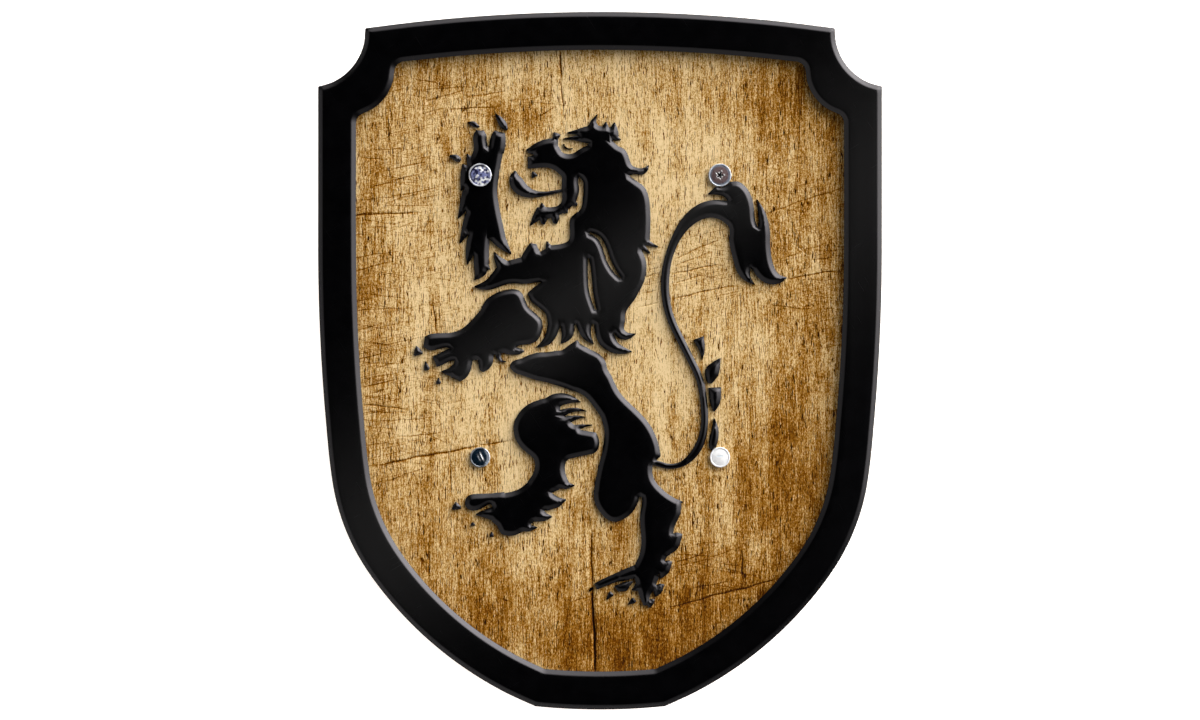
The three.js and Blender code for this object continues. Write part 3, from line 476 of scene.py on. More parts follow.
def inside(points, starts, ends):
    """A level ray from a point inside crosses the outline an odd number of times."""
    odd = []
    rise = ends[:, 1] - starts[:, 1]
    rise = np.where(rise == 0.0, 1.0, rise)
    for block in np.array_split(points, len(points) // BLOCK + 1):
        x, y = block[:, :1], block[:, 1:]
        spans = (starts[:, 1] > y) != (ends[:, 1] > y)
        crossing = starts[:, 0] + (y - starts[:, 1]) / rise * (ends[:, 0] - starts[:, 0])
        odd.append((spans & (x < crossing)).sum(axis=1) % 2 == 1)
    return np.concatenate(odd)


# %% Points over an outline
NEARLY = 0.97


def loop_edges(loops):
    """Start and end of every edge of some closed loops."""
    return np.concatenate(loops), np.concatenate([np.roll(loop, -1, axis=0) for loop in loops])


def drawn_in(loops, starts, ends, distance):
    """Copies of the outline's points moved square to it, kept where no other edge is nearer."""
    moved = []
    for loop in loops:
        way = np.roll(loop, -1, axis=0) - np.roll(loop, 1, axis=0)
        way /= np.linalg.norm(way, axis=1, keepdims=True)
        side = np.stack([-way[:, 1], way[:, 0]], axis=1) * distance
        moved.extend([loop + side, loop - side])
    moved = np.concatenate(moved)
    moved = moved[inside(moved, starts, ends)]
    return moved[nearest_edge(moved, starts, ends) > NEARLY * distance]


def even_grid(starts, ends, step, margin):
    """Points of an even grid that lie inside the outline and further from it than the margin."""
    low, high = starts.min(axis=0), starts.max(axis=0)
    across, along = np.meshgrid(np.arange(low[0], high[0], step), np.arange(low[1], high[1], step))
    spots = np.stack([across.ravel(), along.ravel()], axis=1)
    spots = spots[inside(spots, starts, ends)]
    return spots[nearest_edge(spots, starts, ends) > margin] if len(spots) else spots


# %% Plates
WHOLE_HULL = 0
SAME_SPOT = 1e-5


def covered(loops, extra):
    """Triangles over the inside of the outline, with corners on the outline and on the extra points."""
    starts, ends = loop_edges(loops)
    first = np.cumsum([0] + [len(loop) for loop in loops])
    ids = [np.arange(len(loop)) + offset for loop, offset in zip(loops, first)]
    edges = np.concatenate([np.stack([each, np.roll(each, -1)], axis=1) for each in ids])
    spots = [Vector(spot) for spot in np.concatenate([starts, *extra]).tolist()]
    solved = delaunay_2d_cdt(spots, edges.tolist(), [], WHOLE_HULL, SAME_SPOT)
    plan = np.array([tuple(spot) for spot in solved[0]])
    cover = np.array(solved[2])
    cover = cover[inside(plan[cover].mean(axis=1), starts, ends)]
    used, cover = np.unique(cover, return_inverse=True)
    return plan[used], cover.reshape(-1, 3)


def closed_plate(plan, cover, upper, lower):
    """A closed plate: the cover at the upper heights, walls along its rim, and the cover upside down at the
    lower heights. Heights are in metres."""
    count = len(plan)
    rim = rim_edges(cover, count)
    walls = np.stack([rim[:, 1], rim[:, 0], rim[:, 0] + count, rim[:, 1] + count], axis=1)
    points = np.concatenate([np.column_stack([plan * MM, upper]), np.column_stack([plan * MM, lower])])
    return points, [cover, walls, cover[:, ::-1] + count]


# %% Relief
# Direction of the painted sheen, a painted reflection of a strip of light across the frame and the lion.
PAINTED_SHEEN_TURN = math.radians(-53.0)
PAINTED_SHEEN_WAY = np.array([math.cos(PAINTED_SHEEN_TURN), math.sin(PAINTED_SHEEN_TURN)])
CHAMFER_WIDTH = 2.5
CHAMFER_SLOPE = math.tan(math.radians(40.0))
CHAMFER_RINGS = (0.3, 0.65, 0.95, 1.25)
FLAT_MARGIN = 1.6 * CHAMFER_WIDTH
FLAT_STEP = 3.0
SINK = 0.15


def relief(name, nodes, loops, top, soft, band):
    """Height is the soft minimum of the flat top and of the chamfer, which lies lower by its slope times
    what is left of its width. All are in millimetres above the face. A wall goes down from the outline to
    just under the face. The painted sheen, a painted reflection of a strip of light, is a bell across the
    band's middle line, given by the line's distance from the shield's middle and by the band's reach."""
    starts, ends = loop_edges(loops)
    rings = [drawn_in(loops, starts, ends, CHAMFER_WIDTH * share) for share in CHAMFER_RINGS]
    plan, cover = covered(loops, [*rings, even_grid(starts, ends, FLAT_STEP, FLAT_MARGIN)])
    lower_by = CHAMFER_SLOPE * (CHAMFER_WIDTH - nearest_edge(plan, starts, ends))
    height = top - soft * np.log1p(np.exp(lower_by / soft))
    points, faces = closed_plate(plan, cover, FACE + height * MM, np.full(len(plan), FACE - SINK * MM))
    painted_sheen = np.exp(-((plan @ PAINTED_SHEEN_WAY - band[0]) / band[1]) ** 2)
    values = {"painted_sheen": np.concatenate([painted_sheen, np.zeros(len(plan))])}
    return make_piece(name, points, faces, lacquer, nodes, attributes=values)


# %% Frame
FRAME_TOP = (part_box("frame")[1].z - FACE) / MM
relief("shield_frame", ["frame"], frame_outline, FRAME_TOP, soft=0.1, band=(6.0, 50.0))

# %% Lion
LION_TOP = max((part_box(node)[1].z - FACE) / MM for node in nodes_named("lion_"))
SMALLEST_SLIT = 7.0


def span(loop):
    """The larger of an outline's width and height."""
    return np.ptp(loop, axis=0).max()


for node in nodes_named("lion_"):
    whole, *holes = sorted(underside_outlines(node), key=span, reverse=True)
    loops = [whole] + [hole for hole in holes if span(hole) > SMALLEST_SLIT]
    loops = [rounded(loop, passes=2, corner=50.0) for loop in loops]
    relief(f"{node}_relief", [node], loops, LION_TOP, soft=0.2, band=(-29.0, 22.0))

# %% [markdown]
# ## Wood
#
# The board is pale, close-grained wood with the grain upright. Short dark flecks, fibres and soft cloudy
# stains lie over each other, and old fine scratches cross the grain. All of it is one number, how dark
# the wood is at a place, which a colour ramp turns into ochre and brown. Broad stains and the places where
# scratches crowd are worked out on the board's own points and kept there as attributes, because they follow
# the board and not a repeating pattern.

# %% Wood grain
wood, tree, shader, place = new_finish("board wood")
SWAY_SIZE = (40.0, 160.0, 40.0)
GRAIN_SWAY = 9.0
sway = noise(tree, stretched(tree, place, SWAY_SIZE), 1.0)
sway = math_node(tree, "MULTIPLY", math_node(tree, "SUBTRACT", sway, 0.5), GRAIN_SWAY)
aside = add(tree, "ShaderNodeCombineXYZ", {"X": sway}).outputs[0]
bent = add(tree, "ShaderNodeVectorMath", {0: place, 1: aside}, operation="ADD").outputs[0]
# Where each layer of the grain lies, its size in millimetres, its detail and roughness, and its weight.
GRAIN = {
    "fibres": (bent, (0.34, 1.1, 2.0), 1.5, 0.5, 1.65),
    "strands": (bent, (0.42, 11.0, 2.0), 2.0, 0.55, 1.45),
    "bands": (bent, (9.0, 150.0, 9.0), 3.0, 0.55, 0.85),
    "clouds": (bent, (11.0, 20.0, 11.0), 4.0, 0.55, 0.85),
    "specks": (place, (0.45, 0.5, 0.5), 1.0, 0.55, 0.85),
}
grain = {}
# This attribute holds the wood's stains and the painted shade along the board's edge.
darkness = from_points(tree, "stain_and_painted_shade")
for layer, (where, size, detail, rough, weight) in GRAIN.items():
    grain[layer] = noise(tree, stretched(tree, where, size), 1.0, detail, rough)
    darkness = plus(tree, darkness, math_node(tree, "SUBTRACT", grain[layer], 0.5), weight)
print(f"grain of {len(grain)} layers")

# %% Flecks and scratches
# A crest is the range of the noise over which a fleck or a scratch sets in. Each set of scratches has its
# turn in degrees and its length.
FLECK_SIZE = (0.36, 3.6, 2.0)
FLECK_CREST = (0.68, 0.73)
SCRATCH_CREST = (0.66, 0.74)
SCRATCH_LINES = ((13.0, 46.0), (-9.0, 32.0))
SCRATCH_WIDTH = 0.42
FLECK_WEIGHT = 0.95
SCRATCH_WEIGHT = 0.42
flecks = ease(tree, noise(tree, stretched(tree, bent, FLECK_SIZE), 1.0, detail=0.0), *FLECK_CREST)
crossing = []
for turn, length in SCRATCH_LINES:
    drawn = noise(tree, stretched(tree, place, (length, SCRATCH_WIDTH, 1.0), turn), 1.0, detail=0.0)
    crossing.append(ease(tree, drawn, *SCRATCH_CREST))
hatch = from_points(tree, "hatch")
scratches = math_node(tree, "MULTIPLY", math_node(tree, "MAXIMUM", *crossing), hatch)
darkness = plus(tree, darkness, flecks, FLECK_WEIGHT)
darkness = plus(tree, darkness, scratches, SCRATCH_WEIGHT)
darkness = math_node(tree, "ADD", darkness, from_points(tree, "crack"))
print(f"flecks, and scratches along {len(crossing)} directions")

# %% Wood colours and surface
# Darkness and colour. Levels below zero and above one keep detail in the palest and darkest places.
WOOD_TONES = (
    (-0.25, (0.850, 0.640, 0.350)),
    (0.00, (0.776, 0.578, 0.300)),
    (0.25, (0.545, 0.325, 0.104)),
    (0.50, (0.345, 0.151, 0.014)),
    (0.75, (0.185, 0.058, 0.0008)),
    (1.00, (0.095, 0.026, 0.0006)),
    (1.40, (0.015, 0.006, 0.002)),
)
PALEST = WOOD_TONES[0][0]
DARKEST = WOOD_TONES[-1][0]
tone_range = {"Value": darkness, "From Min": PALEST, "From Max": DARKEST}
tone_place = add(tree, "ShaderNodeMapRange", tone_range).outputs[0]
wood_stops = [((level - PALEST) / (DARKEST - PALEST), colour) for level, colour in WOOD_TONES]
wood_colour = ramp(tree, tone_place, *wood_stops)
mottle, _ = handled(tree, place, 0.7)
sheen = ease(tree, mottle, 0.3, 0.7, 0.52, 0.66)
pores = bump(tree, plus(tree, math_node(tree, "MULTIPLY", grain["fibres"], 0.02), flecks, -0.05))
fill(tree, shader, {"Base Color": wood_colour, "Roughness": sheen, "Normal": pores})
fill(tree, shader, {"Specular IOR Level": 0.04})
print(f"{wood.name}: {len(tree.nodes)} nodes")

# %% [markdown]
# ## Board
#
# The board is a plate inside the frame's outer outline. Its face has drying cracks and old scratches, which
# are grooves: each follows a line with a little sway, and its depth falls off as a bell across it. Points
# crowd along these lines and stay far apart elsewhere, so the grooves are real geometry and the board is
# still a light mesh. The same bells, kept as an attribute, tell the wood finish where dirt has settled.
# Larger marks have a place of their own, and the finest scratches are strewn by a seeded draw of lots.

# %% Marks in the face
# Start, end, half width, depth and darkness of each mark, in millimetres across and up. The first rows are
# drying cracks along the grain, and the rest are scratches, most of them rising to the right. A scratch with
# a darkness below zero is fresh and shows pale wood. The last five are small round dents.
MARKS = (
    ((-20, 157), (-19.5, 139), 0.42, 0.5, 0.75),
    ((-19.5, 140), (-18.6, 121), 0.28, 0.4, 0.4),
    ((-4.5, -85), (-3.8, -114), 0.34, 0.6, 0.7),
    ((-3.9, -112), (-2.2, -157), 0.46, 0.9, 1.0),
    ((-6, 127), (-6, 119), 0.3, 0.4, 0.5),
    ((-75.5, -45.5), (-74.5, -68), 0.28, 0.3, 0.4),
    ((-69.5, 141), (-68.5, 128), 0.26, 0.25, 0.35),
    ((-83.5, 29), (-82, 13.5), 0.32, 0.35, 0.5),
    ((-86, -91), (-85, -109), 0.28, 0.3, 0.45),
    ((46, -70), (46.8, -87), 0.3, 0.35, 0.45),
    ((70.8, -95), (71.8, -112), 0.32, 0.4, 0.55),
    ((80, -112), (80.4, -121), 0.28, 0.3, 0.4),
    ((-109.5, -51.6), (-60, -42.6), 0.46, 0.3, 0.55),
    ((-62, -43), (-43, -39.6), 0.34, 0.25, 0.35),
    ((-127, 72.5), (-90, 74.4), 0.38, 0.3, 0.5),
    ((36.5, 50.4), (61, 61.4), 0.28, 0.25, 0.32),
    ((35, 47), (58, 55), 0.26, 0.2, 0.24),
    ((35, 43.4), (61, 48.4), 0.28, 0.25, 0.3),
    ((35, 38.4), (53, 43.4), 0.26, 0.2, 0.24),
    ((35.5, 30.9), (70, 38.4), 0.3, 0.25, 0.34),
    ((19, 26.4), (31, 29.4), 0.28, 0.25, 0.28),
    ((19, 32.9), (30.5, 35.6), 0.26, 0.2, 0.24),
    ((19, 40.6), (31, 44), 0.28, 0.2, 0.26),
    ((23, 45.2), (32, 47.6), 0.26, 0.2, 0.22),
    ((92, 40.8), (122, 45.6), 0.32, 0.3, 0.4),
    ((99, 26.4), (109, 28.9), 0.26, 0.2, 0.26),
    ((104, 50.4), (118, 51.9), 0.28, 0.2, 0.3),
    ((78, 72), (122, 87), 0.28, 0.2, 0.26),
    ((94, 60.4), (105, 51.4), 0.26, 0.15, -0.25),
    ((35, -101.6), (53, -96.5), 0.3, 0.25, 0.36),
    ((34, -123.6), (90, -109), 0.34, 0.3, 0.46),
    ((-51.5, -118.4), (-44, -120.8), 0.42, 0.25, 0.42),
    ((-61, -98.7), (-68, -114.7), 0.4, 0.15, -0.22),
    ((-42, -122.7), (-47, -129.2), 0.36, 0.15, -0.22),
    ((-15, -107), (-4.5, -102.5), 0.26, 0.2, 0.28),
    ((-16, -121), (-4, -117.7), 0.26, 0.2, 0.3),
    ((-68, 131.4), (-44, 135.6), 0.28, 0.2, 0.28),
    ((-34, 120.8), (-20, 128.3), 0.3, 0.2, 0.34),
    ((-116, 86.6), (-97, 91.5), 0.3, 0.2, 0.32),
    ((-122, 102.4), (-106, 100.2), 0.28, 0.2, 0.28),
    ((-91, 123.3), (-76, 127), 0.26, 0.2, 0.22),
    ((-121, -21.4), (-95, -24.8), 0.28, 0.2, 0.3),
    ((-120, -14), (-101, -9.5), 0.26, 0.2, 0.24),
    ((-83.5, -18.6), (-77, -28), 0.26, 0.2, 0.24),
    ((103, 79.8), (105, 77.8), 0.9, 0.3, 0.8),
    ((101, 8.8), (102, 7), 0.6, 0.3, 0.8),
    ((100, 45.4), (101, 43.4), 0.6, 0.2, 0.7),
    ((73.4, -121.6), (74.6, -123.6), 0.6, 0.3, 0.8),
    ((-89.6, -98.2), (-88.4, -100.2), 0.6, 0.3, 0.7),
)
print(f"{len(MARKS)} marks with a place of their own")


# %% Fine scratches
# Middle, reach across, reach up and number of scratches in each place where they crowd.
CROWDS = (
    (-98, 80, 26, 26, 26),
    (-105, 20, 18, 40, 16),
    (-98, -40, 24, 26, 12),
    (-60, 130, 34, 12, 12),
    (105, 50, 14, 50, 8),
    (60, -105, 28, 18, 8),
)
SCRATCH_SEED = 7
SCRATCH_DEPTH = 0.08
# Middle and spread of the slant in degrees, and then the least and the most of each measure.
SLANT = (5.0, 11.0)
HALF_LENGTH = (4.0, 15.0)
HALF_WIDTH = (0.18, 0.26)
DARKNESS = (0.16, 0.38)


def fine_scratches(dice, x, y, reach_x, reach_y, count):
    """Marks strewn over an oval place: nearly level, with a length, a width and a darkness drawn by lot."""
    middle = dice.normal((x, y), (reach_x / 2, reach_y / 2), (count, 2))
    slant = np.radians(dice.normal(*SLANT, count))
    half = dice.uniform(*HALF_LENGTH, count)[:, None] * np.stack([np.cos(slant), np.sin(slant)], axis=1)
    widths = dice.uniform(*HALF_WIDTH, count)
    darks = dice.uniform(*DARKNESS, count)
    return [(a, b, w, SCRATCH_DEPTH, d) for a, b, w, d in zip(middle - half, middle + half, widths, darks)]


dice = np.random.default_rng(SCRATCH_SEED)
marks = [*MARKS, *(row for crowd in CROWDS for row in fine_scratches(dice, *crowd))]
print(f"{len(marks)} marks in the face")

# %% Shape of a mark
MARK_STEP = 0.8
MARK_TAPER = 5.0
MARK_SIDES = np.array([-3.0, -1.6, -1.0, -0.5, 0.0, 0.5, 1.0, 1.6, 3.0])
MARK_WAVES = ((0.22, 0.21), (0.14, 0.53))


def mark_sway(far, start):
    """How far a mark strays from its straight line: two sine waves, each with its height and its pace."""
    return sum(height * np.sin(far * pace + begin) for (height, pace), begin in zip(MARK_WAVES, start))


def mark_line(start, end):
    """Direction and length of a mark."""
    way = np.subtract(end, start)
    length = np.hypot(*way)
    return way / length, length


def mark_points(start, end, half_width):
    """Rows of points along a mark, closer together towards its middle line."""
    way, length = mark_line(start, end)
    far, side = np.meshgrid(np.arange(0.0, length, MARK_STEP), MARK_SIDES * half_width)
    off = side + mark_sway(far, start)
    x = start[0] + far * way[0] - off * way[1]
    y = start[1] + far * way[1] + off * way[0]
    return np.stack([x.ravel(), y.ravel()], axis=1)


def mark_bell(spots, start, end, half_width):
    """One on the middle line of a mark, falling off as a bell across it and fading towards its ends."""
    way, length = mark_line(start, end)
    offset = spots - start
    far = offset @ way
    off = offset[:, 1] * way[0] - offset[:, 0] * way[1] - mark_sway(far, start)
    taper = np.clip(np.minimum(far, length - far) / min(MARK_TAPER, length / 2), 0.0, 1.0)
    return np.exp(-(off / half_width) ** 2) * taper


# %% Stains
# Middle, reach across, reach up and strength of each patch, in millimetres. Below zero the wood is paler.
STAINS = (
    (10, 60, 60, 90, -0.3),
    (-72, 25, 22, 65, -0.16),
    (-110, 75, 15, 30, -0.1),
    (-45, -35, 20, 40, -0.17),
    (-15, 140, 18, 14, -0.1),
    (112, 40, 16, 120, 0.2),
    (105, -75, 16, 30, 0.15),
    (94, -5, 9, 40, 0.12),
    (93, 56, 8, 6, 0.25),
    (85, 130, 30, 22, 0.25),
    (48, 130, 20, 25, 0.12),
    (85, -70, 25, 40, 0.25),
    (65, -115, 35, 25, 0.3),
    (15, -90, 14, 18, 0.15),
    (20, -150, 60, 25, 0.5),
    (-55, -125, 40, 30, 0.3),
    (-95, -75, 25, 30, 0.15),
    (-120, 20, 12, 110, 0.1),
    (-95, 138, 22, 14, 0.15),
    (-52, 125, 20, 14, 0.1),
    (-47, 125, 8, 8, 0.2),
    (-34, 121, 7, 6, 0.3),
)
# The same for places where the grain is crossed by many scratches.
SCRATCHED = (
    (-105, 10, 35, 60, 0.8),
    (46, 48, 22, 16, 1.0),
    (-90, 110, 30, 30, 0.5),
    (100, 60, 20, 60, 0.4),
    (60, -110, 40, 30, 0.5),
)


def patches(spots, table, start):
    """Sum of soft oval patches over a starting level."""
    x, y, reach_x, reach_y, strength = np.array(table).T
    off = ((spots[:, :1] - x) / reach_x) ** 2 + ((spots[:, 1:] - y) / reach_y) ** 2
    return start + (np.exp(-off) * strength).sum(axis=1)


print(f"{len(STAINS)} stains and {len(SCRATCHED)} scratched places")

# %% Board surface
BOARD_STEP = 4.0
BOARD_MARGIN = 2.0
BACK_CHAMFER = 0.8
board_loops = [max(frame_outline, key=lambda loop: np.ptp(loop[:, 0]))]
starts, ends = loop_edges(board_loops)
crowd = np.concatenate([mark_points(*mark[:3]) for mark in marks])
crowd = crowd[inside(crowd, starts, ends)]
back_ring = drawn_in(board_loops, starts, ends, BACK_CHAMFER)
plan, cover = covered(board_loops, [crowd, back_ring, even_grid(starts, ends, BOARD_STEP, BOARD_MARGIN)])
bells = np.array([mark_bell(plan, *mark[:3]) for mark in marks])
depth = (bells * np.array([[mark[3]] for mark in marks])).max(axis=0)
to_edge = nearest_edge(plan, starts, ends)
lower = BACK + np.maximum(BACK_CHAMFER - to_edge, 0.0) * MM
points, faces = closed_plate(plan, cover, FACE - depth * MM, lower)
print(f"deepest groove {depth.max():.2f} mm")

# %% Board
MARK_DIRT = 1.4
WOOD_STAIN = 0.21
EDGE_PAINTED_SHADE = 0.45
EDGE_REACH = 2.0
BACK_STAIN = 0.1
HATCH_REST = 0.3
dirt = MARK_DIRT * (bells * np.array([[mark[4]] for mark in marks])).sum(axis=0)
plain = np.zeros(len(plan))
# Painted shade: the wood is made darker near the board's edge, so its sides and the rim of its back stay
# dark under the strong low light there.
stain_and_edge_shade = WOOD_STAIN + EDGE_PAINTED_SHADE * np.exp(-(to_edge / EDGE_REACH) ** 2)
face_marks = {
    "stain_and_painted_shade": np.concatenate([patches(plan, STAINS, stain_and_edge_shade), stain_and_edge_shade + BACK_STAIN]),
    "hatch": np.concatenate([patches(plan, SCRATCHED, HATCH_REST), plain]),
    "crack": np.concatenate([dirt, plain]),
}
make_piece("shield_board", points, faces, wood, ["board"], attributes=face_marks)

# %% [markdown]
# ## Polished steel
#
# The rivets are plated steel, and each head looks different: one is spangled with crystals, one is dull
# brown, one is dark and one is nearly white. Painted highlights lie on their rims and along the star and
# the grooves, and painted shade lies in the star's recess and inside part of the spangled head's rim. The
# tint of each head and how far it has lost its mirror are worked out on the rivet's own points and kept as
# attributes, so all four share one material with the washers.

# %% Steel finish
STEEL_SHADES = ((0.0, (0.75, 0.76, 0.80)), (0.6, (1.0, 1.0, 1.0)))
steel, tree, shader, place = new_finish("polished steel")
mottle, hairlines = handled(tree, place, 3.0)
# The tint attribute holds the heads' colours with their painted highlights and shade.
colours_with_painted_light = {"Factor": 1.0, "A": from_points(tree, "tint", "Color"), "B": ramp(tree, mottle, *STEEL_SHADES)}
plating = add(tree, "ShaderNodeMix", colours_with_painted_light, data_type="RGBA", blend_type="MULTIPLY").outputs["Result"]
mirror = math_node(tree, "SUBTRACT", 1.0, from_points(tree, "bloom"))
sheen = plus(tree, ease(tree, mottle, 0.3, 0.7, 0.20, 0.34), hairlines, 0.15)
fill(tree, shader, {"Base Color": plating, "Metallic": mirror, "Roughness": sheen})
print(f"{steel.name}: {len(tree.nodes)} nodes")

# %% [markdown]
# ## Rivets and washers
#
# A rivet is turned round one axis: a head with a rounded rim and a low dome, a shank through the board, and
# a peened end behind the strap. Each head has its own marks from the setting tool, which are dents: heights
# that depend on the place on the head and fade before the rim. Its tint depends on the place in the same
# way. A washer is a rounded section carried round the same axis.

# %% Turned shapes
TURNS = 72


def swept(radius, height):
    """A ring of points round an upright axis for each point of a profile."""
    angle = np.linspace(0.0, 2 * math.pi, TURNS, endpoint=False)
    x = radius[:, None] * np.cos(angle)
    y = radius[:, None] * np.sin(angle)
    z = np.repeat(height[:, None], TURNS, axis=1)
    return np.stack([x, y, z], axis=2).reshape(-1, 3)


def turned(radius, height):
    """A profile carried round an axis. Its first and last points lie on the axis and close the ends."""
    rings = swept(radius[1:-1], height[1:-1])
    points = np.concatenate([[[0.0, 0.0, height[0]]], rings, [[0.0, 0.0, height[-1]]]])
    around = np.arange(TURNS)
    after = np.roll(around, -1)
    last = len(points) - 1
    top = np.stack([np.zeros(TURNS, dtype=int), around + 1, after + 1], axis=1)
    base = last - TURNS
    bottom = np.stack([np.full(TURNS, last), base + after, base + around], axis=1)
    bands = grid_faces(len(radius) - 2, TURNS, ring_columns=True)[:, [0, 3, 2, 1]] + 1
    return points, [top, bands, bottom]


def smooth(value, low, high):
    """Zero below low, one above high, and an even curve between."""
    share = np.clip((value - low) / (high - low), 0.0, 1.0)
    return share * share * (3 - 2 * share)


def blend(first, second, share):
    """Colours from the first to the second, one for each share."""
    return first + share[:, None] * (np.array(second) - first)


def groove(x, y, turn, off, width, length):
    """A bell-shaped line across a head: its direction in degrees and its distance from the middle."""
    turn = math.radians(turn)
    aside = y * math.cos(turn) - x * math.sin(turn) - off
    along = x * math.cos(turn) + y * math.sin(turn)
    return np.exp(-(aside / width) ** 2 - (along / length) ** 4)


# %% Marks and tints of the heads
def spangled(x, y, face):
    """A few flat blows: the deepest of several slanted planes. Crystals: each point takes the tone of the
    nearest of some seeds on a spiral."""
    ways = np.radians([20.0, 95.0, 160.0, 235.0, 305.0])
    slants = np.stack([x * np.cos(way) + y * np.sin(way) - 1.5 for way in ways])
    dent = 0.1 * np.clip(slants, 0.0, None).max(axis=0)
    count = np.arange(80)
    far = face * np.sqrt((count + 0.5) / len(count))
    seeds = np.stack([far * np.cos(2.4 * count), far * np.sin(2.4 * count)])
    near = np.hypot(x[:, None] - seeds[0], y[:, None] - seeds[1]).argmin(axis=1)
    tone = (near ** 2 * 0.618) % 1.0
    tint = blend(np.array((0.20, 0.22, 0.42)), (1.0, 1.0, 1.0), smooth(tone, 0.65, 0.85))
    tint = blend(tint, (0.03, 0.03, 0.08), smooth(-tone, -0.3, -0.15))
    shadow = smooth(np.hypot(x, y), face - 0.9, face - 0.4) * smooth(y - x, -2.0, 3.0)
    return dent, blend(tint, (0.02, 0.02, 0.04), shadow)


def starred(x, y, face):
    """A star-shaped recess with painted highlights along parts of its edge and painted shade inside, in dull
    brown plating, greyer near the rim.
    """
    far = np.hypot(x, y)
    past = far - 1.5 - 0.6 * np.cos(5 * np.arctan2(y, x))
    dent = 0.5 * smooth(-past, 0.0, 0.5)
    tint = blend(np.array((0.15, 0.10, 0.10)), (0.22, 0.26, 0.33), smooth(far, face - 1.2, face))
    # Painted highlights along parts of the recess's edge.
    edge_highlight = np.exp(-(past / 0.45) ** 2) * smooth(np.sin(3 * x + 2 * y), -0.6, 0.6)
    tint = blend(tint, (1.0, 1.0, 1.0), np.clip(1.4 * edge_highlight, 0.0, 1.0))
    # Painted shade inside the recess.
    return dent, blend(tint, (0.004, 0.004, 0.006), smooth(-past, 0.15, 0.4))


def slotted(x, y, face):
    """Two slanted grooves side by side in dark plating, with painted highlights along them, the right one
    brighter, and a painted highlight at the right.
    """
    right = groove(x, y, -66.0, 1.1, 0.3, 2.2)
    left = groove(x, y, -66.0, -0.5, 0.35, 1.8)
    tint = blend(np.array((0.005, 0.016, 0.030)), (1.0, 1.0, 1.0), np.clip(right + 0.3 * left, 0.0, 1.0))
    # A painted highlight near the rim at the right.
    painted_glint = smooth(np.hypot(x, y), face - 1.3, face) * smooth(x, 1.5, 3.5) * 0.6
    return 0.25 * (right + left), blend(tint, (0.8, 0.88, 1.0), painted_glint)


def nearly_white(x, y, face):
    """A nearly white head, with one short bluish line."""
    line = groove(x, y - 0.6, 4.0, 0.0, 0.25, 1.6)
    return 0.12 * line, blend(np.array((0.97, 0.97, 0.97)), (0.50, 0.66, 0.76), 0.7 * line)


# %% Profile of a rivet
# Heights above the seat of the head: the top and the foot of its dome, and the top and the foot of its rim.
HEAD_HEIGHT = 1.8
DOME_FOOT = 1.35
RIM_TOP = 1.62
RIM_FOOT = 0.9
RIM_WIDTH = 0.8
SHANK_RADIUS = 2.5
PEENED_END = 0.8


def rivet_profile(head, length):
    """Radius and height from the middle of the head to the peened end: a parabola for the dome, two quarter
    ellipses for the rim, a straight shank and a quarter ellipse for the end."""
    face = head - RIM_WIDTH
    dome = np.linspace(0.0, face - 0.05, 28)
    inner = np.linspace(math.pi, math.pi / 2, 8)
    outer = np.linspace(math.pi / 2, 0.0, 8)[1:]
    end = np.linspace(math.pi / 2, 0.0, 7)
    rim = head - RIM_WIDTH / 2 + RIM_WIDTH / 2 * np.cos(np.concatenate([inner, outer]))
    radius = np.concatenate([dome, rim, [head, SHANK_RADIUS], SHANK_RADIUS * np.sin(end)])
    height = np.concatenate([
        DOME_FOOT + (HEAD_HEIGHT - DOME_FOOT) * (1 - (dome / face) ** 2),
        DOME_FOOT + (RIM_TOP - DOME_FOOT) * np.sin(inner),
        RIM_FOOT + (RIM_TOP - RIM_FOOT) * np.sin(outer),
        [0.0, 0.0],
        -length + PEENED_END * (1 - np.cos(end)),
    ])
    return radius, height


# %% Rivets
# The marks on each head, how far it has lost its mirror, and how strong the painted highlight on its rim is.
HEADS = {
    "upper_left": (spangled, 0.75, 1.0),
    "upper_right": (starred, 0.75, 1.0),
    "lower_left": (slotted, 0.6, 0.4),
    "lower_right": (nearly_white, 0.97, 0.8),
}
PAINTED_RIM_GLINT = (0.9, 0.92, 0.96)
for node in nodes_named("rivet_"):
    low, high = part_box(node)
    seat = high.z - HEAD_HEIGHT * MM
    head = (high.x - low.x) / MM / 2
    face = head - RIM_WIDTH
    points, faces = turned(*rivet_profile(head, (seat - low.z) / MM))
    x, y, z = points.T.copy()
    far = np.hypot(x, y)
    around = np.arctan2(y, x)
    painted, dull, bright = HEADS[node.removeprefix("rivet_")]
    dent, tint = painted(x, y, face)
    points[:, 2] -= dent * smooth(-far, 0.4 - face, 1.4 - face) * (z > 0.0)
    # Painted highlight: the rim's colour is blended towards a pale glint, uneven round the head.
    painted_glint = bright * (0.55 + 0.4 * np.cos(2 * around + 0.6) * np.cos(5 * around))
    tint = blend(tint, PAINTED_RIM_GLINT, smooth(far, face - 0.1, face + 0.2) * painted_glint)
    points = np.array(((low.x + high.x) / 2, (low.y + high.y) / 2, seat)) + points * MM
    values = {"bloom": np.full(len(points), dull), "tint": np.column_stack([tint, np.ones(len(points))])}
    make_piece(f"{node}_turned", points, faces, steel, [node], attributes=values)

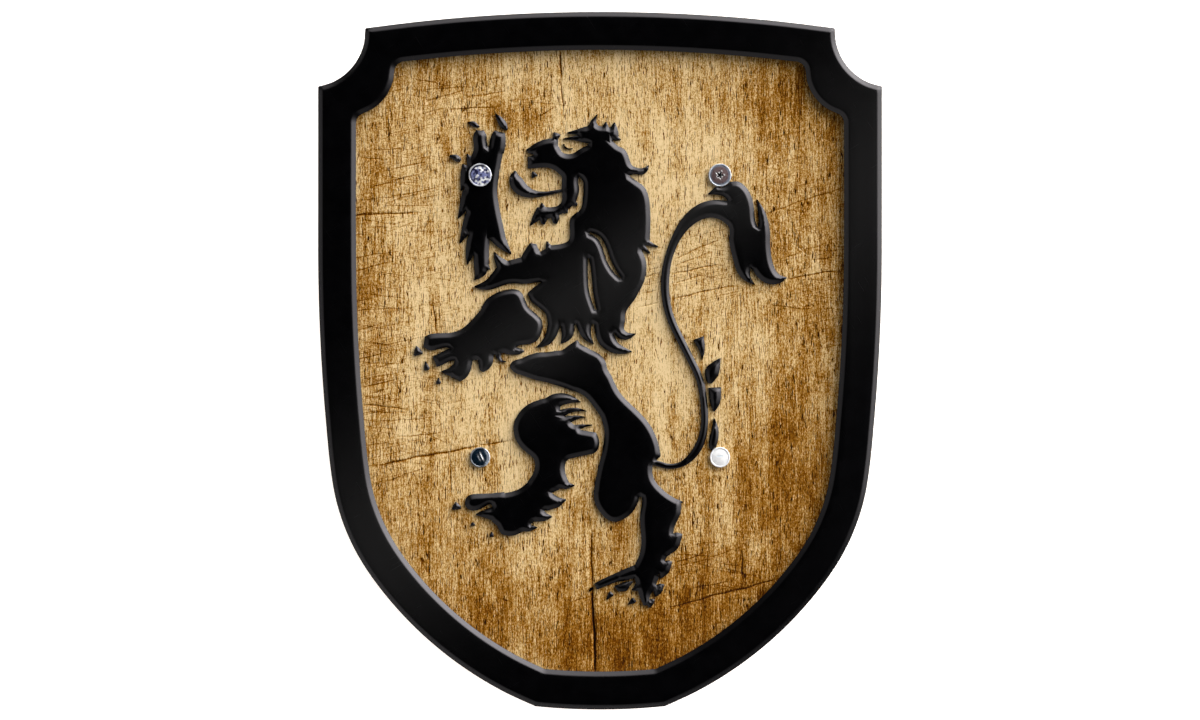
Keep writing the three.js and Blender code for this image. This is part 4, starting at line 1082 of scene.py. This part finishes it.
# %% Washers
# Powers below one push a circle's sine and cosine outwards, which makes the section a rounded rectangle.
WASHER_HOLE = 2.8
WASHER_POINTS = 40
WASHER_TINT = (0.62, 0.64, 0.68, 1.0)
WASHER_DULL = 0.1
for node in nodes_named("washer_"):
    low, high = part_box(node)
    outer = (high.x - low.x) / MM / 2
    thick = (high.z - low.z) / MM / 2
    angle = np.linspace(0.0, 2 * math.pi, WASHER_POINTS, endpoint=False)
    squared = np.abs(np.cos(angle)) ** 0.35 * np.sign(np.cos(angle))
    radius = (outer + WASHER_HOLE) / 2 + (outer - WASHER_HOLE) / 2 * squared
    height = thick * np.abs(np.sin(angle)) ** 0.6 * np.sign(np.sin(angle))
    points = np.add(low, high) / 2 + swept(radius, height) * MM
    faces = [grid_faces(WASHER_POINTS, TURNS, ring_rows=True, ring_columns=True)]
    values = {"bloom": np.full(len(points), WASHER_DULL), "tint": np.tile(WASHER_TINT, (len(points), 1))}
    make_piece(f"{node}_ring", points, faces, steel, [node], attributes=values)

# %% [markdown]
# ## Leather straps
#
# The straps are behind the board and only show from the side. They are plain dark leather: the surface has
# a pebbled grain, and a creased line runs along each edge. A strap is a flat section carried along a path in
# the upright plane: tab, bend, slope, bend and crown, and the same again backwards. Towards each end the
# section narrows as a half circle.

# %% Leather finish
LEATHER_BROWNS = ((0.25, (0.030, 0.016, 0.010)), (0.75, (0.085, 0.045, 0.026)))
leather, tree, shader, place = new_finish("strap leather")
mottle, _ = handled(tree, place, 0.8)
browns = ramp(tree, mottle, *LEATHER_BROWNS)
sheen = ease(tree, mottle, 0.3, 0.7, 0.45, 0.62)
pebbles = add(tree, "ShaderNodeTexVoronoi", {"Vector": place, "Scale": 1.1}, feature="F1")
folds = math_node(tree, "MULTIPLY", mottle, 0.2)
pebbled = bump(tree, plus(tree, folds, pebbles.outputs["Distance"], -0.10), strength=0.8)
fill(tree, shader, {"Base Color": browns, "Roughness": sheen, "Normal": pebbled})
print(f"{leather.name}: {len(tree.nodes)} nodes")

# %% Strap path
THICKNESS = 3.0
BEND_RADIUS = 12.0
BEND = math.radians(70.0)
TAB_INNER = 10.0


def strap_path(half_length, tab_reach, rise):
    """Half of the strap's middle line as (along, up), from the tab's end to the crown's middle: straight
    runs joined by arcs. Along is counted from the strap's middle, and up from the crown's middle line."""
    turn = np.linspace(0.0, BEND, 16)
    start = half_length - TAB_INNER
    drop = rise - 2 * BEND_RADIUS * (1 - math.cos(BEND))
    finish = start - 2 * BEND_RADIUS * math.sin(BEND) - drop / math.tan(BEND)
    curl = np.linspace(math.pi / 2, 0.0, 24)
    tip = half_length + tab_reach * np.sin(curl)
    flat = np.linspace(half_length, start, 6)[1:-1]
    upper_y = start - BEND_RADIUS * np.sin(turn)
    upper_z = rise - BEND_RADIUS * (1 - np.cos(turn))
    lower_y = finish + BEND_RADIUS * np.sin(turn[::-1])
    lower_z = BEND_RADIUS * (1 - np.cos(turn[::-1]))
    crown = np.linspace(finish, 0.0, 8)[1:]
    along = np.concatenate([tip, flat, upper_y, lower_y, crown])
    up = np.concatenate([np.full(len(tip) + len(flat), rise), upper_z, lower_z, np.zeros(len(crown))])
    return along, up


# %% Strap section
EDGE_ROUND = 0.7
CREASE = 2.4
CREASE_DEPTH = 0.35
CREASE_REACH = 0.4
INSETS = np.array([0.0, 0.5, 1.0, 1.4, 1.7, 2.0, 2.4, 3.2, 5.0, 8.0, 11.0])


def strap_section(width, half_width):
    """A ring of (across, out) for each width along the strap: flat faces, edges rounded as quarter circles,
    and a crease that is a bell at its own distance from the edge."""
    inset = np.concatenate([INSETS, [half_width - EDGE_ROUND]])[::-1]
    quarter = np.linspace(math.pi / 2, 0.0, 6)
    width = width[:, None]
    edge = np.minimum(EDGE_ROUND, width)
    shrink = width / half_width
    flat = np.maximum(width - edge - inset * shrink, 0.0)
    crease = CREASE_DEPTH * np.exp(-((inset + EDGE_ROUND - CREASE) / CREASE_REACH) ** 2)
    crease = crease * np.minimum(shrink * 2, 1.0)
    side = np.concatenate([flat, width - edge + edge * np.cos(quarter)], axis=1)
    out = np.concatenate([THICKNESS / 2 - crease, THICKNESS / 2 - edge + edge * np.sin(quarter)], axis=1)
    across = np.concatenate([side, side[:, ::-1], -side, -side[:, ::-1]], axis=1)
    return across, np.concatenate([out, -out[:, ::-1], -out, out[:, ::-1]], axis=1)


# %% Straps
TIP_WIDTH = 0.02
for node in nodes_named("strap_"):
    low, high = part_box(node)
    half_width = (high.x - low.x) / MM / 2
    middle = ((low.x + high.x) / 2, (low.y + high.y) / 2, low.z + THICKNESS / 2 * MM)
    rise = (high.z - low.z) / MM - THICKNESS
    half_length = (high.y - low.y) / MM / 2 - half_width
    along, up = strap_path(half_length, half_width, rise)
    along = np.concatenate([along, -along[-2::-1]])
    up = np.concatenate([up, up[-2::-1]])
    way = np.stack([np.gradient(along), np.gradient(up)], axis=1)
    way /= np.linalg.norm(way, axis=1, keepdims=True)
    beyond = np.clip((np.abs(along) - half_length) / half_width, 0.0, 1.0)
    x, out = strap_section(half_width * np.sqrt(1 - beyond ** 2) + TIP_WIDTH, half_width)
    y = along[:, None] - out * way[:, 1:]
    z = up[:, None] + out * way[:, :1]
    points = np.array(middle) + np.stack([x, y, z], axis=2).reshape(-1, 3) * MM
    rows, columns = x.shape
    ring = np.arange(columns)
    caps = np.stack([ring[::-1], ring + (rows - 1) * columns])
    faces = [grid_faces(rows, columns, ring_columns=True), caps]
    make_piece(f"{node}_leather", points, faces, leather, [node])
